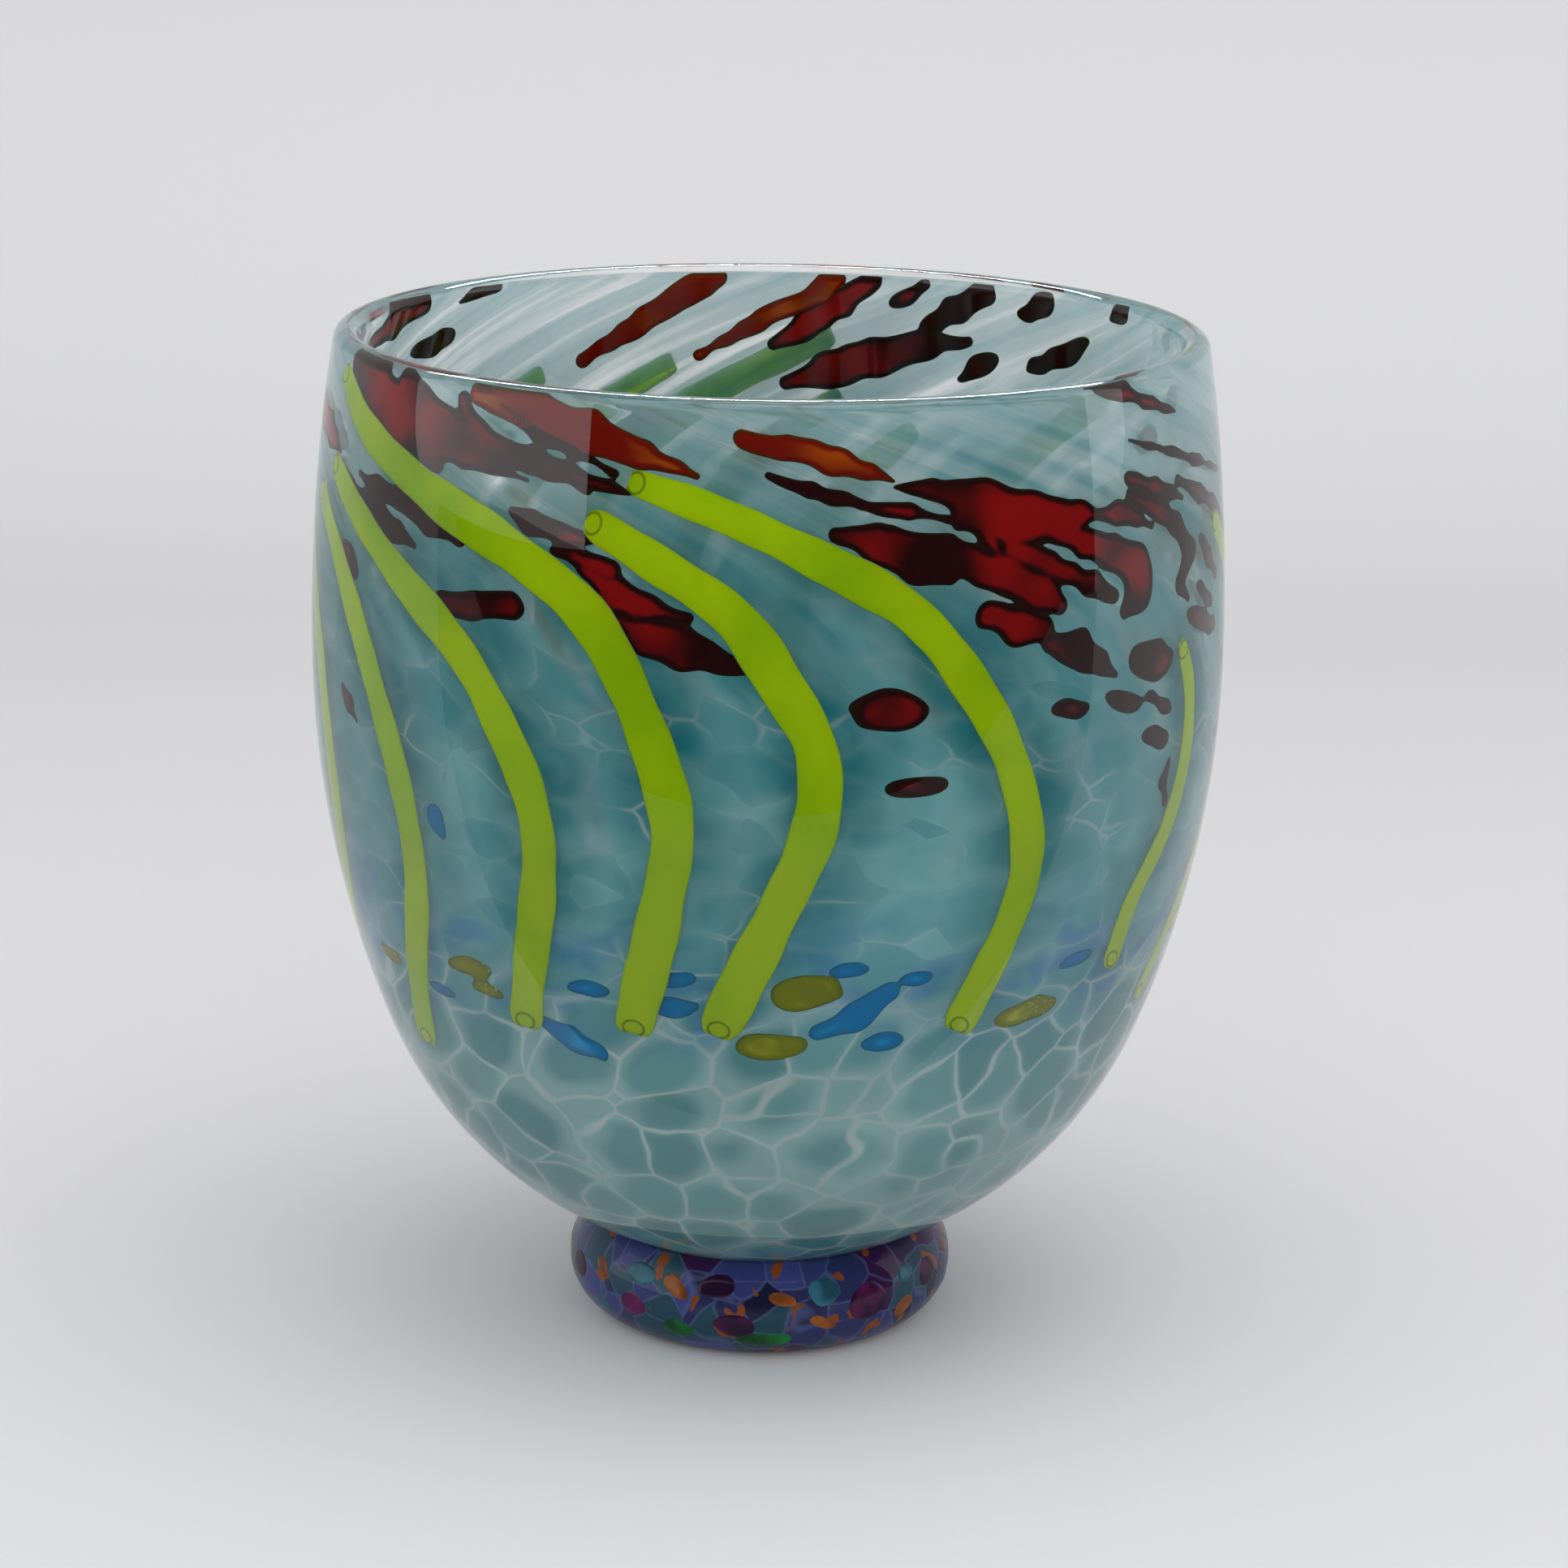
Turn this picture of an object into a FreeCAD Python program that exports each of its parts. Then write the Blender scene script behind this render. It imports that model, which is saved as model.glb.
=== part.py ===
import FreeCAD, Part

import math
import os

import Sketcher

# Hand blown art glass vase: a round bowl on a small applied foot.
#
# The bowl is three gathers of glass over one another. A clear inner gather is rolled in teal chips and a few
# chips of other colours, which together make the thin colour layer. That is cased in clear glass as far as the
# rounded lip, and yellow-green canes are pressed into the casing until they are flush with it. The twist the
# maker gives the hot glass bends every cane the same way. The foot is a separate gather, rolled in its own
# chips and fused under the bowl.
#
# Frame: millimetres, +Z up, the vase stands on the plane z = 0 and its axis is the Z axis.
# An azimuth is measured in degrees round Z from the front (-Y) towards the vase's right (+X).

DIMENSIONS = {
    "overall_height": 190.5,
    "lip_thickness": 5.1,
    "greatest_diameter": 169.0,
    "greatest_height": 130.0,
    "shoulder_radius": 373.0,
    "flank_radius": 189.0,
    "base_radius": 76.8,
    "bowl_floor_radius": 76.0,
    "casing_thickness": 2.0,
    "colour_thickness": 0.9,
    "colour_top": 187.0,
    "foot_top": 20.0,
    "foot_diameter": 73.2,
    "foot_widest_height": 9.5,
    "foot_rest_diameter": 52.0,
    "foot_neck_diameter": 62.0,
    "foot_recess_diameter": 34.0,
    "foot_recess_depth": 2.5,
    "foot_chip_depth": 1.6,
    "swirl_start": 76.0,
    "swirl_rise": 110.0,
    "cane_sink": 0.8,
    "chip_reach": 8.0,
}

# Each cane: azimuth and height where it starts, height where it ends, width, and how far the swirl carries
# it round: the drift to the right, and the twist back to the left that grows with the cube of the height.
CANES = [
    (-79, 76, 156, 7.0, 31, 84),
    (-57, 64, 163, 7.0, 31, 95),
    (-33, 74, 170, 7.2, 28, 100),
    (-17, 76, 183, 7.6, 31, 88),
    (-6, 77, 169, 7.6, 42, 78),
    (26, 76, 175, 7.0, 33, 98),
    (52, 82, 142, 5.4, 42, 78),
    (68, 71, 138, 5.4, 60, 100),
    (86, 76, 160, 7.0, 31, 84),
    (108, 74, 168, 7.0, 31, 84),
    (129, 78, 152, 6.6, 31, 84),
    (149, 76, 171, 7.0, 31, 84),
    (169, 73, 158, 7.0, 31, 84),
    (188, 77, 164, 7.0, 31, 84),
    (207, 75, 177, 7.4, 31, 84),
    (222, 78, 171, 7.0, 31, 84),
    (240, 74, 170, 7.0, 31, 84),
    (261, 77, 160, 6.8, 31, 84),
]

# Each chip: azimuth and height of its middle, length, width and the angle its length runs down to the right.
BOWL_CHIPS = {
    "dark_red_chips_left": [
        (-59, 182, 22, 9, 24),
        (-49, 177, 26, 12, 26),
        (-38, 173, 19, 6, 8),
        (-37, 185, 18, 7, 24),
        (-27, 178, 26, 8, 24),
        (-17, 174, 12, 4, 22),
        (-71, 177, 15, 8, 24),
        (-68, 161, 7, 5, 50),
        (-55, 165, 17, 7, 30),
        (-44, 162, 22, 6, 12),
        (-60, 153, 9, 7, 45),
        (-58, 127, 8, 5, 60),
        (-37, 151, 21, 6, -8),
    ],
    "dark_red_chips_front": [
        (-25.5, 166, 16, 5, 14),
        (-20, 158, 17, 7, 32),
        (-8, 148, 20, 9, 26),
        (11, 173, 32, 3, 15),
        (14.5, 137, 13, 8, 0),
        (17, 123.5, 11.5, 5, 0),
    ],
    "dark_red_chips_right": [
        (29, 171, 36, 10, 12),
        (13, 164, 22, 9, 12),
        (25, 160, 36, 10, 18),
        (42, 161, 30, 11, 30),
        (49, 151, 14, 10, 40),
        (30, 150, 13, 7, 8),
        (39.5, 143.5, 17, 9, 24),
        (52.5, 138.5, 13, 9, 0),
        (37.5, 134, 9, 5, 0),
        (45.5, 134, 10, 6, 0),
        (54.5, 129.5, 9, 5, 0),
        (52, 124.5, 10, 6, 8),
        (54, 117, 9, 4, 70),
        (52, 185, 25, 3, 18),
        (62, 173, 40, 3, 17),
        (56, 166, 15, 5, 20),
        (66, 160, 16, 5, 24),
        (61, 153, 14, 6, 30),
        (71, 148, 14, 6, 35),
        (73, 132, 10, 6, 50),
        (78, 118, 10, 5, 60),
        (82, 160, 20, 5, 24),
        (88, 144, 14, 6, 30),
    ],
    "dark_red_chips_back": [
        (110, 165, 24, 6, 22),
        (96, 176, 26, 6, 20),
        (122, 186, 14, 5, 24),
        (137, 186, 17, 7, 24),
        (133, 176, 29, 5, 22),
        (148, 172, 14, 4, 32),
        (151, 185, 20, 6, 32),
        (159, 186, 12, 5, 40),
        (165, 171, 38, 6, 16),
        (175, 180, 16, 5, 34),
        (200, 158, 18, 7, 24),
        (214, 150, 14, 6, 12),
        (226, 156, 20, 6, 26),
        (238, 180, 18, 6, 16),
        (250, 184, 24, 8, 12),
        (252, 169, 24, 8, 24),
        (268, 170, 20, 7, 24),
        (272, 145, 12, 6, 30),
    ],
    "orange_chips": [
        (-18, 186, 24, 6, 18),
        (-9, 180, 17, 6, 24),
        (5, 181.5, 28, 7, 14),
        (183, 180, 30, 6, 28),
        (199, 180, 30, 8, 30),
    ],
    "amber_chips": [
        (6, 86.5, 17, 8, 0),
        (1.5, 75.5, 15, 6.5, 0),
        (38, 78, 17, 7, 0),
        (-41.5, 84.5, 11, 5, 8),
        (-66, 82, 9, 6, 20),
        (77, 84, 12, 6, 0),
        (119, 80, 13, 6, 0),
        (159, 84, 14, 7, 0),
        (197, 79, 12, 6, 0),
        (250, 83, 12, 6, 0),
    ],
    "blue_chips": [
        (-11.5, 86, 5, 7, 0),
        (-23.5, 86, 7, 3, 0),
        (16, 80, 13, 6, -25),
        (15, 71, 10, 5, -10),
        (19.5, 88, 5, 4, 0),
        (-43, 112, 6, 9, 0),
        (-26, 68, 11, 6, 10),
        (45, 86, 6, 4, 0),
        (-49, 78, 8, 4, 0),
        (97, 82, 9, 5, 0),
        (139, 80, 9, 5, 10),
        (179, 82, 10, 5, -10),
        (214, 84, 9, 4, 0),
        (231, 80, 9, 5, 10),
    ],
}

# Each foot chip: azimuth and height of its middle, length, width and slope, round the band of the foot.
FOOT_CHIPS = {
    "foot_purple_chips": [
        (-70, 11, 9, 6, 0),
        (-40, 9, 8, 5, 10),
        (-12, 15, 9, 5, 0),
        (-7, 8, 10, 5, 5),
        (34, 11, 11, 8, 0),
        (62, 12, 8, 6, 0),
        (98, 9, 10, 7, 0),
        (136, 13, 9, 5, 0),
        (170, 9, 10, 7, 5),
        (208, 12, 9, 6, 0),
        (244, 10, 10, 7, 0),
    ],
    "foot_orange_chips": [
        (-54, 13, 6, 3, 30),
        (-26, 14, 7, 4, 25),
        (8, 13, 7, 3, 20),
        (20, 8, 6, 3, 20),
        (48, 8, 7, 4, -30),
        (80, 13, 6, 3, 20),
        (117, 10, 7, 4, 20),
        (152, 12, 6, 4, -20),
        (189, 13, 7, 4, 20),
        (226, 9, 6, 4, 20),
        (268, 12, 7, 4, 20),
    ],
    "foot_green_chips": [
        (-24, 6, 8, 4, 0),
        (2, 5, 11, 4, 0),
        (82, 6, 9, 4, 0),
        (134, 6, 9, 4, 0),
        (189, 6, 9, 4, 0),
        (262, 5, 9, 4, 0),
    ],
    "foot_teal_chips": [
        (-55, 6, 7, 4, 0),
        (-38, 15, 8, 4, 0),
        (20, 14, 8, 5, 0),
        (50, 14, 6, 4, 0),
        (116, 15, 7, 4, 0),
        (155, 6, 8, 4, 0),
        (225, 15, 7, 4, 0),
    ],
}


START, END, CENTRE = 1, 2, 3
AXIS_POINT, VERTICAL = (-1, 1), -2

doc = FreeCAD.newDocument("vase")


def make_sheet():
    """The driving dimensions, one row each, with the alias the expressions use."""
    sheet = doc.addObject("Spreadsheet::Sheet", "dims")
    for row, (alias, value) in enumerate(DIMENSIONS.items(), start=1):
        sheet.set(f"A{row}", alias)
        sheet.set(f"B{row}", str(value))
        sheet.setAlias(f"B{row}", alias)
    doc.recompute()
    return sheet


sheet = make_sheet()


def size(alias):
    """A driving dimension as the sheet holds it."""
    return float(sheet.get(alias))


# ---- half sections and turned bodies


def origin_plane(body, role):
    for feature in body.Origin.OriginFeatures:
        if feature.Role == role:
            return feature
    raise RuntimeError(f"{body.Name} has no {role}")


def half_section(body):
    """An empty sketch on the body's XZ plane: sketch X is the radius, sketch Y the height."""
    sketch = body.newObject("Sketcher::SketchObject", f"{body.Name}_section")
    sketch.AttachmentSupport = [(origin_plane(body, "XZ_Plane"), "")]
    sketch.MapMode = "FlatFace"
    return sketch


def dimension(sketch, kind, geometry, value, expression):
    """One driving dimension of the sketch, bound to the sheet."""
    constraint = sketch.addConstraint(Sketcher.Constraint(kind, *geometry, value))
    sketch.setExpression(f"Constraints[{constraint}]", expression)


def place_point(sketch, point, x, x_text, y, y_text):
    """Hold one point of the sketch at a radius and a height."""
    dimension(sketch, "DistanceX", (*AXIS_POINT, *point), x, x_text)
    dimension(sketch, "DistanceY", (*AXIS_POINT, *point), y, y_text)


def tie(sketch, kind, first, second):
    """Join two curves' ends, either just touching or tangent."""
    sketch.addConstraint(Sketcher.Constraint(kind, *first, *second))


def join_line(sketch, first, second):
    """A straight line from one curve's end to another's."""
    line = sketch.addGeometry(Part.LineSegment(sketch.getPoint(*first), sketch.getPoint(*second)))
    tie(sketch, "Coincident", (line, START), first)
    tie(sketch, "Coincident", (line, END), second)


def arc_between(centre, radius, low, high):
    circle = Part.Circle(FreeCAD.Vector(*centre, 0), FreeCAD.Vector(0, 0, 1), radius)
    return Part.ArcOfCircle(circle, low, high)


def spin(body, sketch):
    """Turn the half section round the vase's axis."""
    turned = body.newObject("PartDesign::Revolution", f"{body.Name}_turned")
    turned.Profile = sketch
    turned.ReferenceAxis = (sketch, ["V_Axis"])
    turned.Angle = 360
    return body


# ---- the bowl's outline


def bowl_arcs(depth, floor):
    """Centres and radii of the base, flank and shoulder arcs at a depth under the outer face."""
    level = size("greatest_height")
    widest = size("greatest_diameter") / 2 - depth
    flank = size("flank_radius") - depth
    shoulder = size("shoulder_radius") - depth
    flank_x = widest - flank
    drop = math.sqrt((flank - floor) ** 2 - flank_x**2)
    return ((0, level - drop), floor), ((flank_x, level), flank), ((widest - shoulder, level), shoulder)


def outer_radius(height):
    """The bowl's outer radius at a height."""
    (base_centre, base), (flank_centre, flank), (shoulder_centre, shoulder) = bowl_arcs(0, size("base_radius"))
    ratio = (flank_centre[1] - base_centre[1]) / (flank - base)
    join_height = base_centre[1] - base * ratio
    if height > flank_centre[1]:
        centre, radius = shoulder_centre, shoulder
    elif height > join_height:
        centre, radius = flank_centre, flank
    else:
        centre, radius = base_centre, base
    return centre[0] + math.sqrt(radius**2 - (height - centre[1]) ** 2)


def bowl_curve(sketch, depth, depth_text, floor, floor_text, closed_top=True):
    """The bowl's outline at one depth: base, flank and shoulder arcs, each tangent to the next. It ends at the
    top of the colour, unless its end is left for the lip. Returns the base and shoulder arcs."""
    level = size("greatest_height")
    widest = size("greatest_diameter") / 2 - depth
    (base_centre, _), (flank_centre, flank), (shoulder_centre, shoulder) = bowl_arcs(depth, floor)
    join = math.atan2(base_centre[1] - level, -flank_centre[0])
    rise = math.asin((size("colour_top") - level) / shoulder)
    base = sketch.addGeometry(arc_between(base_centre, floor, -math.pi / 2, join))
    side = sketch.addGeometry(arc_between(flank_centre, flank, join, 0))
    upper = sketch.addGeometry(arc_between(shoulder_centre, shoulder, 0, rise))
    sketch.addConstraint(Sketcher.Constraint("PointOnObject", base, CENTRE, VERTICAL))
    sketch.addConstraint(Sketcher.Constraint("PointOnObject", base, START, VERTICAL))
    tie(sketch, "Tangent", (base, END), (side, START))
    tie(sketch, "Tangent", (side, END), (upper, START))
    dimension(sketch, "Radius", (base,), floor, floor_text)
    dimension(sketch, "Radius", (side,), flank, f"dims.flank_radius - {depth_text}")
    dimension(sketch, "Radius", (upper,), shoulder, f"dims.shoulder_radius - {depth_text}")
    half_width = f"dims.greatest_diameter / 2 - {depth_text}"
    place_point(sketch, (side, END), widest, half_width, level, "dims.greatest_height")
    dimension(sketch, "DistanceY", (*AXIS_POINT, side, CENTRE), level, "dims.greatest_height")
    if closed_top:
        dimension(sketch, "DistanceY", (*AXIS_POINT, upper, END), size("colour_top"), "dims.colour_top")
    return base, upper


def outer_curve(sketch, closed_top=True):
    return bowl_curve(sketch, 0, "0", size("base_radius"), "dims.base_radius", closed_top)


def casing_inner_curve(sketch):
    """The face between the clear casing and the colour."""
    depth = size("casing_thickness")
    floor_text = "dims.base_radius - dims.casing_thickness"
    return bowl_curve(sketch, depth, "dims.casing_thickness", size("base_radius") - depth, floor_text)


def colour_inner_curve(sketch):
    """The face between the colour and the inner gather."""
    depth = size("casing_thickness") + size("colour_thickness")
    depth_text = "(dims.casing_thickness + dims.colour_thickness)"
    return bowl_curve(sketch, depth, depth_text, size("base_radius") - depth, f"dims.base_radius - {depth_text}")


def inside_curve(sketch):
    """The bowl's inside, with a wider floor arc that leaves the base thick."""
    floor = size("bowl_floor_radius")
    return bowl_curve(sketch, size("lip_thickness"), "dims.lip_thickness", floor, "dims.bowl_floor_radius")


# ---- the gathers


def turned_shell(name, outer, inner):
    """A gather between two of the bowl's outlines, flat on top where the colour ends."""
    body = doc.addObject("PartDesign::Body", name)
    sketch = half_section(body)
    outer_base, outer_upper = outer(sketch)
    inner_base, inner_upper = inner(sketch)
    join_line(sketch, (outer_upper, END), (inner_upper, END))
    join_line(sketch, (outer_base, START), (inner_base, START))
    return spin(body, sketch)


def bowl_form():
    """The bowl's outer form as a solid, which shapes the top of the foot."""
    body = doc.addObject("PartDesign::Body", "bowl_form")
    sketch = half_section(body)
    base, upper = outer_curve(sketch)
    axis = sketch.addGeometry(
        Part.LineSegment(FreeCAD.Vector(0, size("colour_top"), 0), sketch.getPoint(base, START))
    )
    sketch.addConstraint(Sketcher.Constraint("PointOnObject", axis, START, VERTICAL))
    dimension(sketch, "DistanceY", (*AXIS_POINT, axis, START), size("colour_top"), "dims.colour_top")
    tie(sketch, "Coincident", (axis, END), (base, START))
    join_line(sketch, (upper, END), (axis, START))
    return spin(body, sketch)


def casing_blank():
    """The clear casing before anything is pressed into it, with the whole rounded lip."""
    body = doc.addObject("PartDesign::Body", "casing_blank")
    sketch = half_section(body)
    base, upper = outer_curve(sketch, closed_top=False)
    level = size("greatest_height")
    _, _, (shoulder_centre, shoulder) = bowl_arcs(0, size("base_radius"))
    bead = size("lip_thickness") / 2
    bead_height = size("overall_height") - bead
    lean = math.asin((bead_height - level) / (shoulder - bead))
    bead_centre = (shoulder_centre[0] + (shoulder - bead) * math.cos(lean), bead_height)
    inner_radius = shoulder - size("lip_thickness")
    inner_low = math.asin((size("colour_top") - level) / inner_radius)
    lip = sketch.addGeometry(arc_between(bead_centre, bead, lean, lean + math.pi))
    inner = sketch.addGeometry(arc_between(shoulder_centre, inner_radius, inner_low, lean))
    tie(sketch, "Tangent", (upper, END), (lip, START))
    tie(sketch, "Tangent", (lip, END), (inner, END))
    tie(sketch, "Coincident", (inner, CENTRE), (upper, CENTRE))
    dimension(sketch, "Radius", (lip,), bead, "dims.lip_thickness / 2")
    bead_text = "dims.overall_height - dims.lip_thickness / 2"
    dimension(sketch, "DistanceY", (*AXIS_POINT, lip, CENTRE), bead_height, bead_text)
    dimension(sketch, "DistanceY", (*AXIS_POINT, inner, START), size("colour_top"), "dims.colour_top")
    colour_base, colour_upper = casing_inner_curve(sketch)
    join_line(sketch, (inner, START), (colour_upper, END))
    join_line(sketch, (base, START), (colour_base, START))
    return spin(body, sketch)


def foot_blank():
    """The foot before its chips: a rounded disc that swells between its rest and its neck, with a shallow
    ground recess underneath."""
    body = doc.addObject("PartDesign::Body", "foot_blank")
    sketch = half_section(body)
    rest = size("foot_rest_diameter") / 2
    widest = size("foot_diameter") / 2
    neck = size("foot_neck_diameter") / 2
    recess = size("foot_recess_diameter") / 2
    level = size("foot_widest_height")
    top = size("foot_top")
    depth = size("foot_recess_depth")

    def swell(edge_radius, edge_height):
        """The arc from the widest point to an edge point, upright at the widest point."""
        rise = edge_height - level
        centre_x = (widest**2 - edge_radius**2 - rise**2) / (2 * (widest - edge_radius))
        turn = math.atan2(rise, edge_radius - centre_x)
        return arc_between((centre_x, level), widest - centre_x, min(turn, 0), max(turn, 0))

    lower = sketch.addGeometry(swell(rest, 0))
    upper = sketch.addGeometry(swell(neck, top))
    dome_radius = (recess**2 + depth**2) / (2 * depth)
    dome_turn = math.asin(recess / dome_radius)
    dome = sketch.addGeometry(
        arc_between((0, depth - dome_radius), dome_radius, math.pi / 2 - dome_turn, math.pi / 2)
    )
    tie(sketch, "Coincident", (lower, END), (upper, START))
    place_point(sketch, (lower, START), rest, "dims.foot_rest_diameter / 2", 0, "0")
    place_point(sketch, (lower, END), widest, "dims.foot_diameter / 2", level, "dims.foot_widest_height")
    place_point(sketch, (upper, END), neck, "dims.foot_neck_diameter / 2", top, "dims.foot_top")
    for arc in (lower, upper):
        dimension(sketch, "DistanceY", (*AXIS_POINT, arc, CENTRE), level, "dims.foot_widest_height")
    place_point(sketch, (dome, START), recess, "dims.foot_recess_diameter / 2", 0, "0")
    sketch.addConstraint(Sketcher.Constraint("PointOnObject", dome, CENTRE, VERTICAL))
    sketch.addConstraint(Sketcher.Constraint("PointOnObject", dome, END, VERTICAL))
    dimension(sketch, "DistanceY", (*AXIS_POINT, dome, END), depth, "dims.foot_recess_depth")
    lid = sketch.addGeometry(Part.LineSegment(FreeCAD.Vector(neck, top, 0), FreeCAD.Vector(0, top, 0)))
    tie(sketch, "Coincident", (lid, START), (upper, END))
    sketch.addConstraint(Sketcher.Constraint("PointOnObject", lid, END, VERTICAL))
    sketch.addConstraint(Sketcher.Constraint("Horizontal", lid))
    join_line(sketch, (lid, END), (dome, END))
    join_line(sketch, (dome, START), (lower, START))
    return spin(body, sketch)


# ---- canes and chips


def around(azimuth, radius, height):
    """The point at an azimuth from the front, a radius and a height."""
    turn = math.radians(azimuth)
    return FreeCAD.Vector(radius * math.sin(turn), -radius * math.cos(turn), height)


def swirl(height, drift, twist):
    """How far round the maker's twist has carried the glass at a height, in degrees."""
    rise = (height - size("swirl_start")) / size("swirl_rise")
    return drift * rise - twist * rise**3


def cane_rod(name, azimuth, bottom, top, width, drift, twist):
    """A round rod along the swirl, cut square at both ends. It sits in the wall, so the part of it inside the
    casing is a flat flush strip. The rod's seam faces inward, clear of the casing's outer face."""
    steps = 8
    heights = [bottom + (top - bottom) * step / steps for step in range(steps + 1)]
    start = azimuth - swirl(bottom, drift, twist)
    points = [
        around(start + swirl(height, drift, twist), outer_radius(height) - size("cane_sink"), height)
        for height in heights
    ]
    curve = Part.BSplineCurve()
    curve.interpolate(points)
    path = doc.addObject("Part::Feature", f"{name}_path")
    path.Shape = Part.Wire([curve.toShape()])
    ring = doc.addObject("Part::Circle", f"{name}_ring")
    ring.Radius = width / 2
    heading = curve.tangent(curve.FirstParameter)[0]
    inward = around(azimuth + 180, 1, 0)
    ring.Placement = FreeCAD.Placement(
        points[0], FreeCAD.Rotation(inward, heading.cross(inward), heading, "ZXY")
    )
    rod = doc.addObject("Part::Sweep", f"{name}_rod")
    rod.Sections = [ring]
    rod.Spine = (path, ["Edge1"])
    rod.Solid = True
    rod.Frenet = False
    return rod


def chip_prism(name, azimuth, height, length, width, slope, radius, reach_in):
    """An oval prism that points out from the axis, its length running down to the right by the slope."""
    oval = doc.addObject("Part::Ellipse", f"{name}_oval")
    oval.MajorRadius = max(length, width) / 2
    oval.MinorRadius = min(length, width) / 2
    outward = around(azimuth, 1, 0)
    across = around(azimuth + 90, 1, 0)
    down = FreeCAD.Vector(0, 0, -1)
    turn = math.radians(slope if length >= width else slope + 90)
    along = across * math.cos(turn) + down * math.sin(turn)
    oval.Placement = FreeCAD.Placement(
        around(azimuth, radius, height), FreeCAD.Rotation(along, outward.cross(along), outward, "ZXY")
    )
    prism = doc.addObject("Part::Extrusion", f"{name}_prism")
    prism.Base = oval
    prism.DirMode = "Normal"
    prism.Solid = True
    prism.setExpression("LengthFwd", "dims.chip_reach")
    prism.setExpression("LengthRev", reach_in)
    return prism


def combine(kind, name, base, tool):
    result = doc.addObject(kind, name)
    result.Base = base
    result.Tool = tool
    return result


def group(name, shapes):
    fused = doc.addObject("Part::MultiFuse", name)
    fused.Shapes = shapes
    return fused


def press_in(glass, name, tool):
    """Press one inlay into the glass: the inlay takes the glass's place. Returns both."""
    inlay = combine("Part::Common", name, glass, tool)
    rest = combine("Part::Cut", f"glass_after_{name}", glass, tool)
    return inlay, rest


def bowl_chips(name, chips):
    prisms = [
        chip_prism(f"{name}_{number}", azimuth, height, length, width, slope, outer_radius(height), "dims.chip_reach")
        for number, (azimuth, height, length, width, slope) in enumerate(chips, start=1)
    ]
    return group(f"{name}_tool", prisms)


def foot_radius(height):
    """The foot's outer radius at a height between its rest and its neck."""
    widest = size("foot_diameter") / 2
    level = size("foot_widest_height")
    above = height > level
    edge = size("foot_neck_diameter") / 2 if above else size("foot_rest_diameter") / 2
    rise = (size("foot_top") if above else 0) - level
    centre = (widest**2 - edge**2 - rise**2) / (2 * (widest - edge))
    return centre + math.sqrt((widest - centre) ** 2 - (height - level) ** 2)


def foot_chips(name, chips):
    prisms = [
        chip_prism(f"{name}_{number}", azimuth, height, length, width, slope, foot_radius(height), "dims.foot_chip_depth")
        for number, (azimuth, height, length, width, slope) in enumerate(chips, start=1)
    ]
    return group(f"{name}_tool", prisms)


def make_bowl():
    """The three gathers, the chips in the colour layer and the canes in the casing."""
    blank = casing_blank()
    layer = turned_shell("colour_blank", casing_inner_curve, colour_inner_curve)
    pieces = [turned_shell("clear_inner_gather", colour_inner_curve, inside_curve)]
    rods = []
    for number, (azimuth, bottom, top, width, drift, twist) in enumerate(CANES, start=1):
        name = f"green_cane_{number:02d}"
        rods.append(cane_rod(name, azimuth, bottom, top, width, drift, twist))
        pieces.append(combine("Part::Common", name, blank, rods[-1]))
    pieces.append(combine("Part::Cut", "clear_outer_casing", blank, group("cane_tools", rods)))
    for name, chips in BOWL_CHIPS.items():
        inlay, layer = press_in(layer, name, bowl_chips(name, chips))
        pieces.append(inlay)
    layer.Label = "teal_chip_layer"
    pieces.append(layer)
    return pieces


def make_foot():
    """The foot gather and the chips it was rolled in."""
    glass = combine("Part::Cut", "foot_under_bowl", foot_blank(), bowl_form())
    pieces = []
    for name, chips in FOOT_CHIPS.items():
        inlay, glass = press_in(glass, name, foot_chips(name, chips))
        pieces.append(inlay)
    glass.Label = "foot_gather"
    pieces.append(glass)
    return pieces


def check_document(pieces):
    """Stop before anything is written if a feature failed or a piece isn't a sound solid."""
    for thing in doc.Objects:
        if "Invalid" in thing.State or "Error" in thing.State:
            raise RuntimeError(f"{thing.Name} failed: {thing.State}")
    for sketch in doc.findObjects("Sketcher::SketchObject"):
        if not sketch.FullyConstrained:
            raise RuntimeError(f"{sketch.Name} isn't fully constrained")
    for piece in pieces:
        shape = piece.Shape
        if shape.isNull() or not shape.isValid() or not shape.Solids:
            raise RuntimeError(f"{piece.Label} isn't a valid solid")


def write_pieces(pieces):
    os.makedirs("parts", exist_ok=True)
    for piece in pieces:
        piece.Shape.exportStep(f"parts/{piece.Label}.step")
        print(f"{piece.Label}: {len(piece.Shape.Solids)} solids, {piece.Shape.Volume:.0f} mm3")


def main():
    pieces = make_bowl() + make_foot()
    doc.recompute()
    check_document(pieces)
    write_pieces(pieces)


main()
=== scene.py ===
import math

import bpy
import numpy as np
from mathutils import Matrix, Vector


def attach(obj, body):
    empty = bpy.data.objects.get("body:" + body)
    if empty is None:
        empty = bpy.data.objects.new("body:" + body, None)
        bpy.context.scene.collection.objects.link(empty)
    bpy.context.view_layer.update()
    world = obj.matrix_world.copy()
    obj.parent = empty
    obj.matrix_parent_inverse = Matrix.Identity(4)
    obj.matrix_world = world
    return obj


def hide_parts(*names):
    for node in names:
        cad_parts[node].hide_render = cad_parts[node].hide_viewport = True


# A hand blown art glass vase on a pale table. The clear wall is an outer and an inner skin of real glass that
# meet on the crest of the lip. The teal layer, the chips and the canes lie between the two skins, so they are
# seen through the casing. Lengths are millimetres until a mesh is made. An azimuth is in degrees round Z from
# the front (-Y) towards the vase's right (+X).

MM = 0.001

# ---- the vase's outline, as the CAD part has it

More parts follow.
